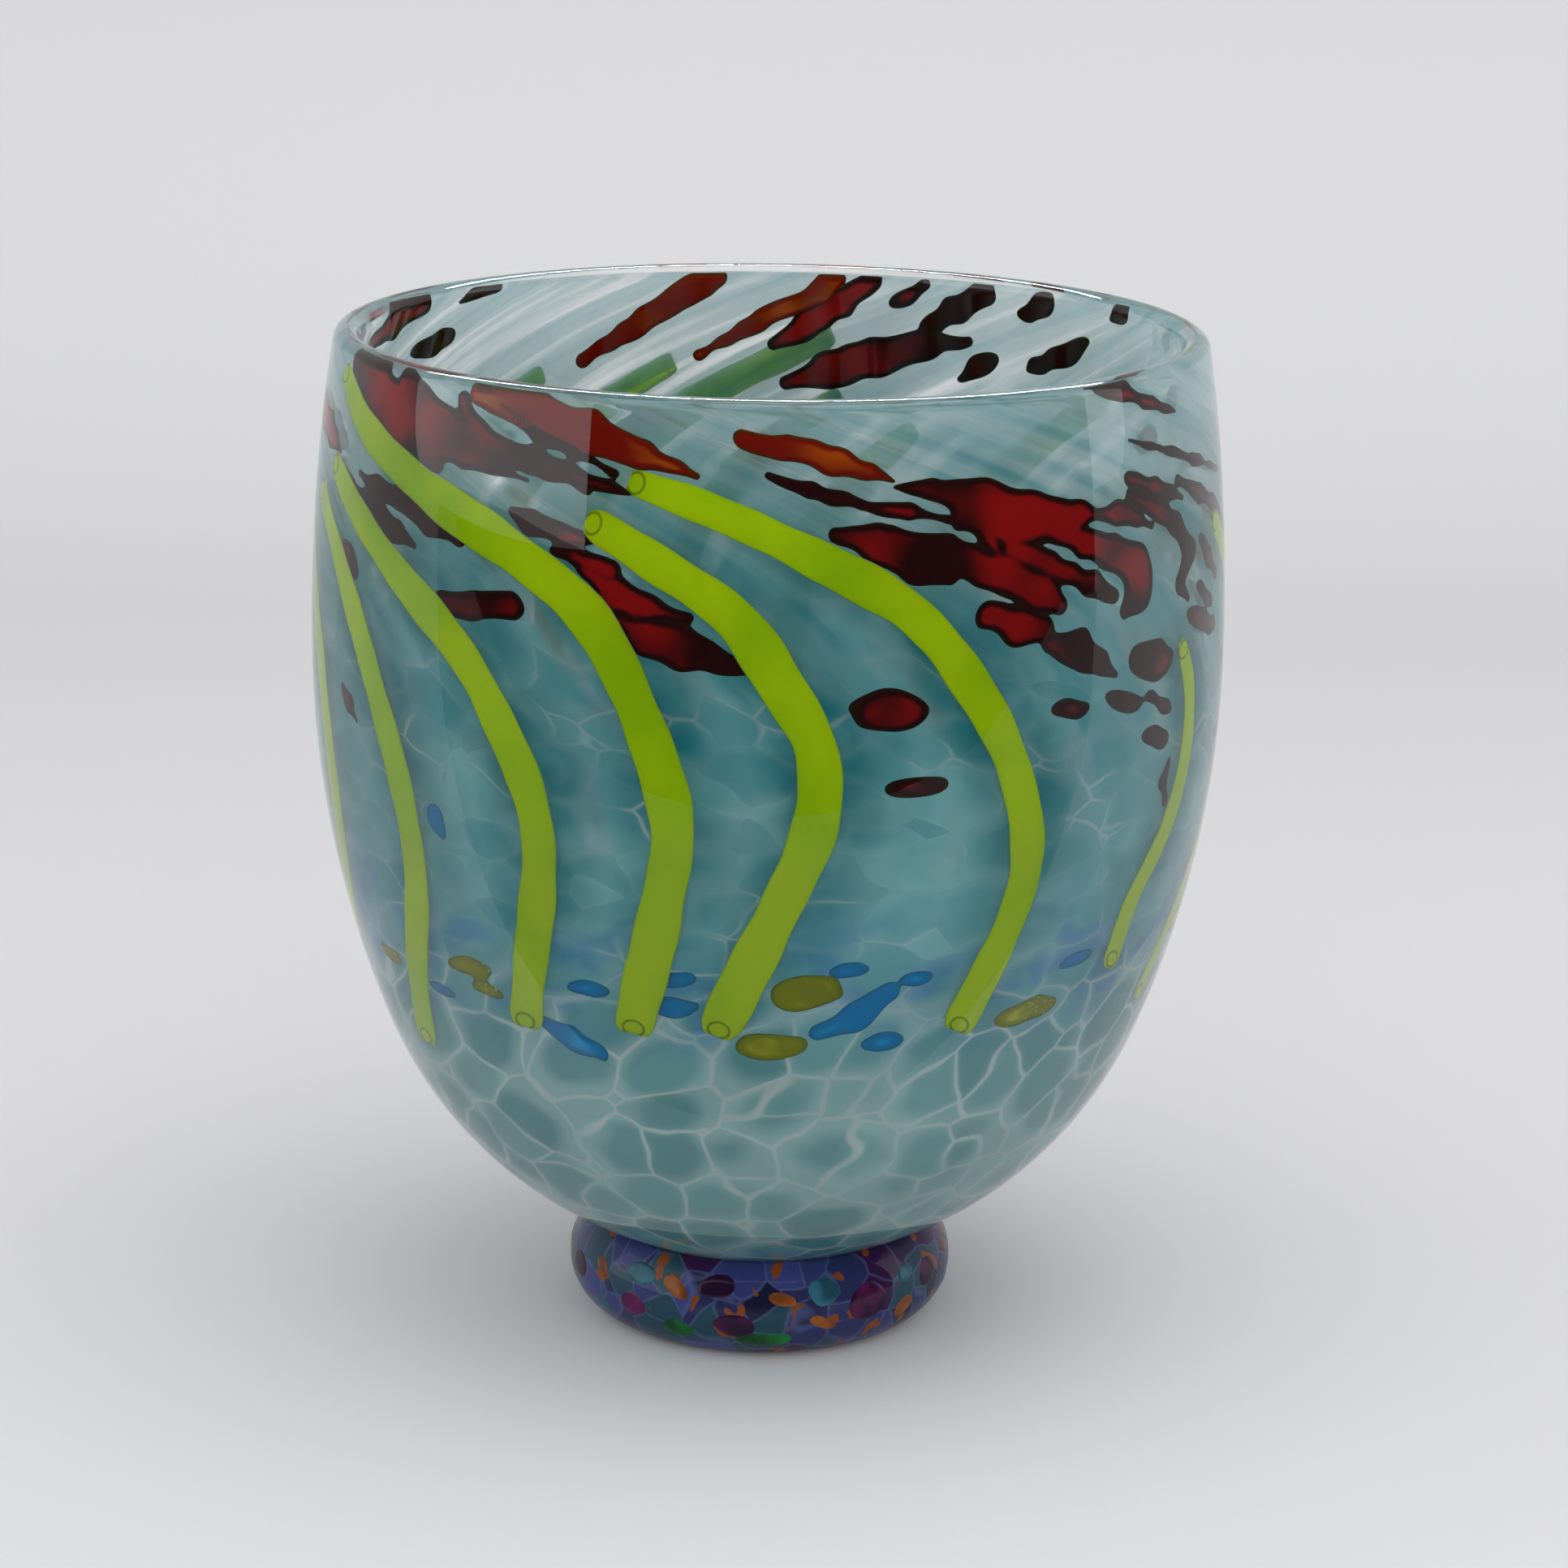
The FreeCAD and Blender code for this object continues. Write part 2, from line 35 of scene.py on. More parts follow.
HEIGHT = 190.5
LIP = 5.1
LEVEL = 130.0
WIDEST = 84.5
SHOULDER = 373.0
FLANK = 189.0
BASE = 76.8
INSIDE_FLOOR = 76.0
BEAD = LIP / 2
BEAD_HEIGHT = HEIGHT - BEAD
FOOT_REST, FOOT_WIDEST, FOOT_NECK = 26.0, 36.6, 31.0
FOOT_LEVEL, FOOT_TOP, FOOT_SEAM = 9.5, 20.0, 19.2
FOOT_RECESS, FOOT_RECESS_DEPTH = 17.0, 2.5
SEAM_GAP = 0.05

# Depths under the outer face, and the heights where the colour layer and its chips end.
COLOUR_DEPTH = 2.5
COLOUR_TOP = 188.6
CHIP_CROWN = 0.45
CHIP_TOP = 188.4
CANE_OUTER, CANE_MIDDLE, CANE_INNER = 0.3, 0.9, 1.9
FOOT_CHIP_DEPTH, FOOT_CHIP_OUT, FOOT_CHIP_IN = 0.1, 0.2, 1.0
FOOT_CHIP_LOW, FOOT_CHIP_HIGH, FOOT_CHIP_TOP = 3, 17, 18

# The twist that most of the glass follows: drift to the right, then back to the left with the cube of height.
SWIRL_START, SWIRL_RISE = 76.0, 110.0
SWIRL_DRIFT, SWIRL_TWIST = 31.0, 84.0
SWIRL_FLOOR = 60.0

# The teal chips' size, the rows of them below each height, and the radius past which they don't spread.
FLOW_CELL = 12.0
FLOW_RADIUS = 80.0
FLOW_HEIGHTS = [0, 76, 92, 140, 165, 190]
FLOW_ROWS = [0, 6.4, 8.2, 14.6, 16.6, 17.8]

# How strong the shadow beside a cane is at each height, and how far it reaches to the right and the left.
SHADE_HEIGHTS = [70, 95, 130, 155, 175]
SHADE_STRENGTHS = [0.15, 0.5, 0.9, 0.8, 0.4]
SHADE_RIGHT, SHADE_LEFT = 9.0, 6.0

# How finely a chip's outline is cut, how far from its edge it reaches its full thickness, and how softly its
# strokes melt into one another.

CHIP_GRID = 0.5
CHIP_SWELL = 1.5
CHIP_MELT = 0.45
FOOT_CHIP_GRID, FOOT_CHIP_SWELL = 0.4, 1.0

# An oval chip's half width, and how far it reaches past its two points, as shares of the width in its list.
OVAL_WIDTH = 0.92
OVAL_REACH = 0.75

# How far the front of the lip has sunk, and the height where that begins.
LIP_DROP = 2.2
LIP_SETTLES_FROM = 168.0

# Each cane at the front: azimuths and heights along it, from its lower end, then its width.
FRONT_CANES = [
    ([(-79, 77), (-72, 92), (-70, 110), (-72, 128), (-78, 145), (-84, 156)], 7.0),
    ([(-57, 63), (-53, 79), (-48.5, 99), (-50, 118), (-57, 138), (-66, 153), (-76, 163)], 7.0),
    ([(-33, 74), (-28, 102), (-28, 117), (-32, 130), (-39, 143), (-52, 155), (-70, 169)], 7.2),
    ([(-17, 76), (-12, 102), (-11, 121), (-19, 148), (-30, 160), (-46, 169), (-60, 177), (-70, 186)], 7.8),
    ([(-6, 77), (2, 102), (6, 117), (6, 130), (2, 141), (-4, 153), (-14, 162), (-22, 168)], 7.8),
    ([(26, 76), (32, 98), (33, 111), (30, 126), (25, 139), (17, 153), (5, 163), (-6, 170), (-17, 175)], 7.0),
    ([(52, 82), (54, 95), (60, 107), (63, 119), (63, 131), (60, 141)], 5.4),
    ([(65, 71), (70, 84), (78, 100), (84, 120), (84, 138)], 5.4),
]

# Each cane at the back: azimuth and height where it starts, height where it ends, width.
BACK_CANES = [
    (86, 76, 160, 7.0),
    (108, 74, 168, 7.0),
    (129, 78, 152, 6.6),
    (149, 76, 171, 7.0),
    (169, 73, 158, 7.0),
    (188, 77, 164, 7.0),
    (207, 75, 177, 7.4),
    (222, 78, 171, 7.0),
    (240, 74, 170, 7.0),
    (261, 77, 160, 6.8),
]

# A chip is one or more strokes. Each stroke is a run of azimuth, height and half width.
BOWL_CHIPS = {
    "dark_red_chips_left": [
        [(-64, 187, 5), (-58, 182, 6), (-52, 178.5, 5), (-47, 175, 3.3), (-44, 172.6, 1.3)],
        [(-55, 182, 5), (-47, 178.5, 4), (-40, 175.8, 2.6), (-30, 172.7, 0.4)],
        [(-52, 186, 3), (-45, 181.5, 3.2), (-38, 178.2, 3), (-30, 176.2, 2.4), (-23, 174.2, 1.6),
         (-16, 171.8, 0.4)],
        [(-25, 174.5, 1), (-22, 171.7, 0.4)],
        [(-41, 186, 1.2), (-40, 183, 1.5), (-37, 180, 1.3), (-33, 178, 1)],
        [(-38, 188, 1.5), (-34, 185.3, 2), (-29, 182, 2), (-24, 179, 1.4), (-18.5, 175.4, 0.5)],
        [(-70, 168, 1.2), (-63, 164.5, 2), (-57, 161.7, 3), (-51, 160.2, 2), (-47.5, 158.2, 0.5)],
        [(-61, 167.8, 0.8), (-57, 166.5, 1.6), (-51, 166, 2.2), (-45, 163.2, 2.2), (-40, 161.5, 1.8)],
        [(-57, 166, 1.5), (-57, 162, 2)],
        [(-45, 149, 1.2), (-42, 149.6, 2.3), (-37, 150.3, 2.2), (-31.5, 151.6, 2.6)],
        [(-64.2, 153.7, 2.6), (-60.9, 150.9, 2.6)],
        [(-64, 129, 0.8), (-62, 126.5, 1.8), (-60, 124, 0.6)],
        [(-85, 176, 3), (-74, 173, 3), (-68, 170, 0.8)],
        [(-76.2, 161.1, 2), (-72.9, 158.9, 2)],
    ],
    "dark_red_chips_front": [
        [(-32, 167.2, 0.9), (-29, 165.8, 2), (-25, 164.3, 2), (-21, 163.7, 0.5)],
        [(-26, 161.6, 0.8), (-23, 160.8, 1.6), (-18.5, 159, 1.8)],
        [(-22, 159, 1.2), (-18, 155.5, 2.8), (-14, 153.3, 2.4), (-9, 152, 0.6)],
        [(-18, 151.5, 1), (-14, 148.6, 3.2), (-9, 146.6, 3.6), (-2, 143.6, 0.8)],
        [(-17, 155, 1.5), (-14, 149.5, 1.5)],
        [(0, 176.2, 0.6), (5, 173.6, 1.4), (11, 171.2, 1), (17, 169.5, 1.2), (23, 167.9, 0.5)],
        [(12, 136.7, 4.2), (17, 136.3, 3.9)],
        [(15.5, 123.4, 2.2), (20.5, 123, 2.1)],
    ],
    "dark_red_chips_right": [
        [(15, 174, 0.5), (20, 173.4, 1.8), (26, 170.6, 4), (33, 167.5, 4.2), (40, 166.6, 2.5),
         (44, 166.3, 0.9)],
        [(43, 166.3, 0.9), (47, 166, 2), (51, 164.2, 1.5), (54, 162.2, 0.6)],
        [(24, 168.5, 2.5), (30, 165, 2.5), (38, 164, 0.8)],
        [(35, 166, 2.5), (41, 162, 2.4), (46, 159.5, 3), (50.5, 155.5, 4), (51, 151.5, 3.8),
         (48, 148.8, 1.5)],
        [(8, 166.3, 1.5), (13, 164.6, 3), (18, 161.5, 3.6), (22, 158.3, 1.5)],
        [(15, 165.5, 2), (22, 162, 3), (29, 158.4, 3.4), (34, 154.6, 3.2), (37, 152, 2)],
        [(30, 162.6, 2), (36, 158.8, 2.2), (42, 154.6, 2), (46, 151.8, 1.5)],
        [(26, 167, 2), (29, 160, 2)],
        [(27, 151.5, 2.5), (31, 149.3, 3.2), (34.5, 148.2, 2.4)],
        [(35.5, 145.4, 2), (40, 143.6, 3.4), (44, 140.5, 2), (46.5, 138, 0.6)],
        [(51, 139.8, 4), (56.5, 138, 4.2)],
        [(46, 133.8, 2.2), (50, 132.3, 2.4)],
        [(37.5, 133.7, 2.2), (40.5, 133.4, 2.2)],
        [(54, 132, 1.2), (58, 129, 2)],
        [(53, 125.6, 2), (57, 123.8, 2.4)],
        [(59, 119.3, 0.4), (58, 115.6, 1.5), (59, 112, 0.9)],
        [(49.5, 171.3, 1.2), (55, 168.8, 1.7), (62, 165.5, 0.9)],
        [(49.5, 168.5, 0.9), (54, 165.6, 1.8), (60, 161.5, 2), (64, 155.5, 2.4), (60.5, 150.5, 1.4),
         (63, 147.4, 0.8)],
        [(61, 168.6, 1), (68, 165, 1.6), (75, 160.8, 1.6), (84, 154.4, 0.8)],
        [(67.8, 156.4, 2), (73.8, 149.2, 2)],
        [(62.6, 145, 2.2), (74.2, 139.1, 2.2)],
        [(67, 148.2, 1.6), (72, 144, 1.8)],
        [(80, 132, 2.5), (84, 127, 2)],
        [(78, 119, 1.6), (83, 118, 1.6)],
        [(50, 178, 0.3), (57, 175.2, 0.8), (66, 171.5, 1), (80, 166, 0.4)],
        [(43, 188.5, 0.6), (50, 187, 1.5), (54, 184.6, 1.4), (62, 181, 0.5)],
        [(84, 145, 1.5), (91, 142, 2.6)],
    ],
    "dark_red_chips_back": [
        [(180, 174, 1.5), (175, 178.5, 3), (170, 183, 3), (165, 188, 2)],
        [(161.2, 183.8, 2), (157.3, 187.1, 2)],
        [(157, 179, 1.5), (152, 183, 2.8), (147, 187, 2.5)],
        [(140.3, 183.8, 2.4), (134.8, 187.1, 2.4)],
        [(122, 186, 1.5), (117, 188, 1.5)],
        [(178, 166, 1.5), (171, 169.5, 4), (165, 172, 4), (158, 175, 3), (150, 177, 1)],
        [(138.9, 173.2, 2.6), (128.5, 179.3, 2.6)],
        [(150.8, 169.8, 2.4), (145.8, 174.2, 2.4)],
        [(260, 183, 1.5), (250, 185.5, 3), (241, 188, 2)],
        [(242.4, 177.9, 2.6), (234.2, 180.1, 2.6)],
        [(232, 187, 1.2), (226, 188, 1.2)],
        [(196.7, 159.7, 3), (203.3, 156.3, 3)],
        [(211.2, 150.8, 2.6), (216.8, 149.2, 2.6)],
        [(222.7, 157.7, 2.8), (229.3, 154.1, 2.8)],
        [(106.7, 166.9, 2.6), (113.3, 163.1, 2.6)],
        [(92.7, 177.4, 2.6), (99.3, 174.6, 2.6)],
        [(249.2, 171.2, 3.6), (255.3, 166.5, 3.6)],
        [(264.7, 172.2, 3), (271.3, 167.8, 3)],
        [(270.4, 146.7, 2.4), (273.6, 143.3, 2.4)],
    ],
    "orange_chips": [
        [(-38, 187, 2.4), (-30, 185, 3.8), (-22, 182.2, 4.0), (-15, 179, 2.4), (-8.5, 175.8, 0.5)],
        [(-3, 182.6, 1.7), (2, 181.3, 2.3), (8, 178.8, 2.5), (12, 177, 1.5), (15, 174.9, 0.5)],
        [(209, 172, 1.5), (200, 179, 2.6), (193, 185, 3), (189, 188, 2.5)],
        [(191, 172, 1), (182, 179, 2), (173, 185, 2.5), (171, 188, 2.5)],
    ],
    "amber_chips": [
        [(2.5, 86, 3.6), (9, 86.6, 3.6)],
        [(-2, 76, 2.8), (5, 75.6, 3.2)],
        [(34.5, 77.6, 2.6), (41, 78.6, 2.8)],
        [(-44.5, 84, 2.2), (-39, 84.4, 2)],
        [(-41, 80.6, 1.4), (-37, 80.4, 1.3)],
        [(-63, 81, 1.6), (-58, 79.6, 1.8)],
        [(73, 84, 2.6), (80, 84, 2.8)],
        [(115, 80, 2.6), (123, 80, 2.8)],
        [(155, 84, 3), (162, 84, 3.2)],
        [(194, 79, 2.6), (200, 79, 2.4)],
        [(247, 83, 2.6), (253, 83, 2.4)],
    ],
    "blue_chips": [
        [(-13, 82.5, 1.8), (-9, 83.2, 2.4)],
        [(-12, 88, 1.4), (-8.5, 88.3, 1.5)],
        [(-25, 84.5, 1.5), (-20.5, 84.8, 1.6)],
        [(7.5, 78.4, 1.4), (12, 81, 2.6), (16.5, 85.5, 2)],
        [(13.5, 75.6, 1.8), (18.5, 76.4, 2)],
        [(9.5, 90.2, 1.7), (13, 90.4, 1.7)],
        [(18.5, 88, 1.7), (21, 88, 1.6)],
        [(-44, 112, 2.4), (-43, 109, 2)],
        [(-31, 77, 1.3), (-26, 74, 2.2), (-22, 72, 1.8)],
        [(-51, 78, 1.4), (-47, 77.5, 1.6)],
        [(43, 86, 1.8), (47, 86.5, 1.6)],
        [(94, 82, 2.2), (99, 82, 2)],
        [(136, 80, 2.2), (141, 79, 2)],
        [(176, 82, 2.2), (182, 83, 2.2)],
        [(211, 84, 1.8), (216, 84, 1.8)],
        [(228, 80, 2.2), (234, 79, 2)],
    ],
}

# Each foot chip: azimuth and height of its middle, length, width, and its fall to the right in degrees.
FOOT_CHIPS = {
    "foot_purple_chips": [
        (-70, 11, 9, 6, 0),
        (-40, 9, 8, 5, 10),
        (-12, 15, 9, 5, 0),
        (-7, 8, 10, 5, 5),
        (34, 11, 11, 8, 0),
        (62, 12, 8, 6, 0),
        (98, 9, 10, 7, 0),
        (136, 13, 9, 5, 0),
        (170, 9, 10, 7, 5),
        (208, 12, 9, 6, 0),
        (244, 10, 10, 7, 0),
    ],
    "foot_orange_chips": [
        (-54, 13, 6, 3, 30),
        (-26, 14, 7, 4, 25),
        (8, 13, 7, 3, 20),
        (20, 8, 6, 3, 20),
        (48, 8, 7, 4, -30),
        (80, 13, 6, 3, 20),
        (117, 10, 7, 4, 20),
        (152, 12, 6, 4, -20),
        (189, 13, 7, 4, 20),
        (226, 9, 6, 4, 20),
        (268, 12, 7, 4, 20),
    ],
    "foot_green_chips": [
        (-24, 6, 8, 4, 0),
        (2, 5, 11, 4, 0),
        (82, 6, 9, 4, 0),
        (134, 6, 9, 4, 0),
        (189, 6, 9, 4, 0),
        (262, 5, 9, 4, 0),
    ],
    "foot_teal_chips": [
        (-55, 6, 7, 4, 0),
        (-38, 15, 8, 4, 0),
        (20, 14, 8, 5, 0),
        (50, 14, 6, 4, 0),
        (116, 15, 7, 4, 0),
        (155, 6, 8, 4, 0),
        (225, 15, 7, 4, 0),
    ],
}

# The studio, in metres: where the table bends up into the backdrop, the dim room, the lamps and the camera.
SWEEP_FRONT, SWEEP_BACK, SWEEP_BEND, SWEEP_TOP, SWEEP_WIDE = -3.0, 0.62, 0.5, 3.2, 6.0
SWEEP_BELOW = 0.00005
ROOM_FAR, ROOM_RIGHT, ROOM_TALL = -3.0, 1.3, 2.6
ROOM_RIGHT_END = -0.12
NEAR_TABLE_START, NEAR_TABLE_END = -0.10, -0.38
CARD_LIFT = 0.0005, 0.001
LAMP_PLACE, LAMP_SIZE, LAMP_POWER = (0.2, -0.15, 1.5), 1.1, 4.5
TUBE_PLACE, TUBE_LENGTH, TUBE_WIDTH, TUBE_POWER = (-0.05, 0.95, 1.2), 1.5, 0.12, 26.0
HORIZON_LIGHT, ZENITH_LIGHT = 1.75, 0.85
CAMERA_PLACE, CAMERA_TIP, CAMERA_ROLL = (0.00339, -0.7387, 0.2964), 14.7, 0.84
CAMERA_LENS, CAMERA_SENSOR = 93.17, 36.0

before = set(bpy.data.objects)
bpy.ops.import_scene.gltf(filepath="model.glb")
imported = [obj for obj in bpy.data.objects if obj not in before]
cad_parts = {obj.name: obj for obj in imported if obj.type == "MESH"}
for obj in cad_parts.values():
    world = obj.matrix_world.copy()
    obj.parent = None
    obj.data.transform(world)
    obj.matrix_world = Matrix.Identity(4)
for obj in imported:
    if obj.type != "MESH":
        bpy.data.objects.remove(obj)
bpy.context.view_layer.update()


# ---- outlines


def arc(centre, radius, low, high, steps):
    """Points on an arc in the radius and height plane."""
    turns = np.linspace(low, high, steps)
    return [(centre[0] + radius * math.cos(turn), centre[1] + radius * math.sin(turn)) for turn in turns]


def bowl_arcs(depth, floor):
    """Centres and radii of the base, flank and shoulder arcs at a depth under the outer face."""
    widest = WIDEST - depth
    flank = FLANK - depth
    shoulder = SHOULDER - depth
    drop = math.sqrt((flank - floor) ** 2 - (widest - flank) ** 2)
    base = ((0, LEVEL - drop), floor)
    return base, ((widest - flank, LEVEL), flank), ((widest - shoulder, LEVEL), shoulder)


def bowl_radius(height, depth):
    """The bowl's radius at heights, at a depth under the outer face."""
    base, flank, shoulder = bowl_arcs(depth, BASE - depth)
    join = base[0][1] - base[1] * (LEVEL - base[0][1]) / (flank[1] - base[1])

    def reach(centre, radius):
        return centre[0] + np.sqrt(np.maximum(radius**2 - (height - centre[1]) ** 2, 0))

    return np.where(height > LEVEL, reach(*shoulder), np.where(height > join, reach(*flank), reach(*base)))


def bowl_profile(depth, floor, top_turn, steps):
    """The bowl's outline at a depth, from the axis under it to an angle on the shoulder arc."""
    base, flank, shoulder = bowl_arcs(depth, floor)
    join = math.atan2(base[0][1] - LEVEL, -flank[0][0])
    lower = arc(*base, -math.pi / 2, join, steps)
    middle = arc(*flank, join, 0, steps)
    return lower + middle[1:] + arc(*shoulder, 0, top_turn, steps)[1:]


SHOULDER_CENTRE = WIDEST - SHOULDER
LIP_LEAN = math.asin((BEAD_HEIGHT - LEVEL) / (SHOULDER - BEAD))
BEAD_CENTRE = (SHOULDER_CENTRE + (SHOULDER - BEAD) * math.cos(LIP_LEAN), BEAD_HEIGHT)


def settled(points):
    """The wall's points with the lip a little lower at the front, as hand work leaves it."""
    points = np.array(points, float)
    round_front = 0.5 - 0.5 * points[..., 1] / np.maximum(np.hypot(points[..., 0], points[..., 1]), 0.001)
    near_lip = np.clip((points[..., 2] - LIP_SETTLES_FROM) / (HEIGHT - LIP_SETTLES_FROM), 0, 1) ** 2
    points[..., 2] -= LIP_DROP * round_front * near_lip
    return points


def point_on_bowl(azimuth, height, depth):
    turn = np.radians(azimuth)
    radius = bowl_radius(height, depth)
    return np.stack([radius * np.sin(turn), -radius * np.cos(turn), height], axis=-1)


def foot_arc(above):
    """Centre and radius of the foot's upper or lower side arc."""
    edge = FOOT_NECK if above else FOOT_REST
    rise = (FOOT_TOP if above else 0) - FOOT_LEVEL
    centre = (FOOT_WIDEST**2 - edge**2 - rise**2) / (2 * (FOOT_WIDEST - edge))
    return (centre, FOOT_LEVEL), FOOT_WIDEST - centre


def point_on_foot(azimuth, height, depth):
    turn = np.radians(azimuth)
    radii = []
    for above in (True, False):
        centre, radius = foot_arc(above)
        radii.append(centre[0] + np.sqrt(np.maximum(radius**2 - (height - FOOT_LEVEL) ** 2, 0)) - depth)
    radius = np.where(height > FOOT_LEVEL, radii[0], radii[1])
    return np.stack([radius * np.sin(turn), -radius * np.cos(turn), height], axis=-1)


# ---- meshes


def make_object(name, points, faces):
    """A smooth mesh object from points in millimetres."""
    mesh = bpy.data.meshes.new(name)
    mesh.from_pydata((np.array(points, float) * MM).tolist(), [], faces)
    mesh.polygons.foreach_set("use_smooth", [True] * len(mesh.polygons))
    mesh.update()
    thing = bpy.data.objects.new(name, mesh)
    bpy.context.scene.collection.objects.link(thing)
    return thing


def make_glass(name, points, faces):
    """A mesh object of the vase, which settles with the rest of the wall."""
    return make_object(name, settled(points), faces)


def store(thing, name, values):
    """A number on each of a mesh's points, for its material."""
    layer = thing.data.attributes.new(name, "FLOAT", "POINT")
    layer.data.foreach_set("value", np.asarray(values, dtype=np.float32))


def store_vectors(thing, name, values):
    layer = thing.data.attributes.new(name, "FLOAT_VECTOR", "POINT")
    layer.data.foreach_set("vector", np.asarray(values, dtype=np.float32).ravel())


def turned(name, profile, around):
    """A skin turned from a profile whose ends may lie on the axis."""
    points = []
    rings = []
    for radius, height in profile:
        if radius < 0.001:
            rings.append([len(points)] * around)
            points.append((0, 0, height))
            continue
        rings.append(list(range(len(points), len(points) + around)))
        for turn in np.arange(around) * 2 * math.pi / around:
            points.append((radius * math.sin(turn), -radius * math.cos(turn), height))
    faces = []
    for low, high in zip(rings, rings[1:]):
        for k in range(around):
            after = (k + 1) % around
            corners = [low[k], low[after], high[after], high[k]]
            faces.append(list(dict.fromkeys(corners)))
    return make_glass(name, points, faces)


def smooth_path(points, steps):
    """A Catmull-Rom curve through azimuth and height points."""
    known = np.array(points, float)
    known = np.vstack([2 * known[0] - known[1], known, 2 * known[-1] - known[-2]])
    path = []
    for before, start, end, after in zip(known, known[1:], known[2:], known[3:]):
        for t in np.arange(steps) / steps:
            bend = 2 * before - 5 * start + 4 * end - after
            turn = 3 * start - before - 3 * end + after
            path.append(start + 0.5 * ((end - before) * t + bend * t**2 + turn * t**3))
    path.append(known[-2])
    return np.array(path)


def swirl(height):
    """How far round the twist has carried the glass at a height, in degrees."""
    rise = (height - SWIRL_START) / SWIRL_RISE
    return SWIRL_DRIFT * rise - SWIRL_TWIST * rise**3


def swirled_path(azimuth, bottom, top):
    heights = np.linspace(bottom, top, 9)
    return [(azimuth + swirl(h) - swirl(bottom), h) for h in heights]


def unrolled(path):
    """Lengths along and across the wall, in millimetres, for azimuth and height points."""
    return np.stack([np.radians(path[:, 0]) * bowl_radius(path[:, 1], 0), path[:, 1]], axis=-1)


def cane_spine(path, width, seed):
    """Points along a cane, closer together at its ends. For each: azimuth and height, the way across, half
    width, how full the lens is there, and the distance from the nearer end."""
    flat = unrolled(path)
    steps = np.linalg.norm(np.diff(flat, axis=0), axis=1)
    along = np.concatenate([[0], np.cumsum(steps)])
    length = along[-1]
    cut = np.linspace(0, 1, 91)
    cut = length * (cut - 0.06 * np.sin(2 * math.pi * cut))
    spine = np.stack([np.interp(cut, along, path[:, k]) for k in range(2)], axis=-1)
    flat_spine = unrolled(spine)
    heading = np.gradient(flat_spine, axis=0)
    heading /= np.linalg.norm(heading, axis=1)[:, None]
    sideways = np.stack([heading[:, 1], -heading[:, 0]], axis=-1)
    half = width / 2
    end_gap = np.minimum(cut, length - cut)
    rounding = np.sqrt(np.clip(1 - (1 - np.minimum(end_gap / half, 1)) ** 2, 0, 1))
    wander = 1 + 0.05 * np.sin(cut * 0.21 + seed) + 0.03 * np.sin(cut * 0.55 + 2 * seed)
    taper = 1 - 0.3 * np.clip((cut - 0.7 * length) / (0.3 * length), 0, 1)
    return spine, sideways, half * rounding * wander * taper, rounding, end_gap


def cane(name, path, width, seed, sides=20):
    """A flat lens of glass along the wall, with rounded ends."""
    spine, sideways, half_widths, rounding, end_gap = cane_spine(path, width, seed)
    points = []
    rims = []
    ends = []
    for k in range(1, len(spine) - 1):
        for side in range(sides):
            turn = 2 * math.pi * side / sides
            across = math.cos(turn)
            lift = math.sin(turn) * rounding[k]
            crown = CANE_MIDDLE - CANE_OUTER if lift > 0 else CANE_INNER - CANE_MIDDLE
            depth = CANE_MIDDLE - lift * crown
            offset = sideways[k] * across * half_widths[k]
            height = spine[k, 1] + offset[1]
            azimuth = spine[k, 0] + math.degrees(offset[0] / bowl_radius(height, 0))
            points.append(point_on_bowl(azimuth, height, depth))
            rims.append(abs(across))
            ends.append((across * half_widths[k], end_gap[k]))
    rows = len(spine) - 2
    faces = []
    for k in range(rows - 1):
        for side in range(sides):
            after = (side + 1) % sides
            low, high = k * sides, (k + 1) * sides
            faces.append([low + side, high + side, high + after, low + after])
    faces.append(list(range(sides)))
    faces.append(list(range((rows - 1) * sides, rows * sides))[::-1])
    thing = make_glass(name, points, faces)
    store(thing, "rim", rims)
    store(thing, "across", [end[0] for end in ends])
    store(thing, "from_end", [end[1] for end in ends])
    store(thing, "height", [p[2] / HEIGHT for p in points])
    return thing


def oval_distance(u, v, start, end):
    """Distance to the edge of the oval that two points span, negative inside."""
    run, rise = end[0] - start[0], end[1] - start[1]
    length = math.hypot(run, rise)
    from_middle_u = u - (start[0] + end[0]) / 2
    from_middle_v = v - (start[1] + end[1]) / 2
    along = (from_middle_u * run + from_middle_v * rise) / length
    across = (from_middle_v * run - from_middle_u * rise) / length
    width = (start[2] + end[2]) / 2
    half_length = length / 2 + OVAL_REACH * width
    half_width = OVAL_WIDTH * width
    return (np.hypot(along / half_length, across / half_width) - 1) * half_width


def edge_distance(u, v, strokes, soft):
    """Distance to the edge of a group of tapered strokes, negative inside, with softly melted joints."""
    total = np.zeros_like(u)
    for stroke in strokes:
        if len(stroke) == 2:
            total += np.exp(-np.clip(oval_distance(u, v, *stroke), -30, 30) / soft)
            continue
        for (ua, va, ra), (ub, vb, rb) in zip(stroke, stroke[1:]):
            span = max((ub - ua) ** 2 + (vb - va) ** 2, 1e-6)
            t = np.clip(((u - ua) * (ub - ua) + (v - va) * (vb - va)) / span, 0, 1)
            gap = np.hypot(u - ua - t * (ub - ua), v - va - t * (vb - va)) - ra - t * (rb - ra)
            total += np.exp(-np.clip(gap, -30, 30) / soft)
    return -soft * np.log(np.maximum(total, 1e-12))


def ripple(u, v):
    """A small uneven edge, the same every time."""
    first = np.sin(0.5 * u + 1.7 * np.sin(0.31 * v + 0.6))
    second = np.sin(0.9 * v - 0.45 * u + 1.3 * np.sin(0.27 * u))
    return 0.22 * first + 0.2 * second


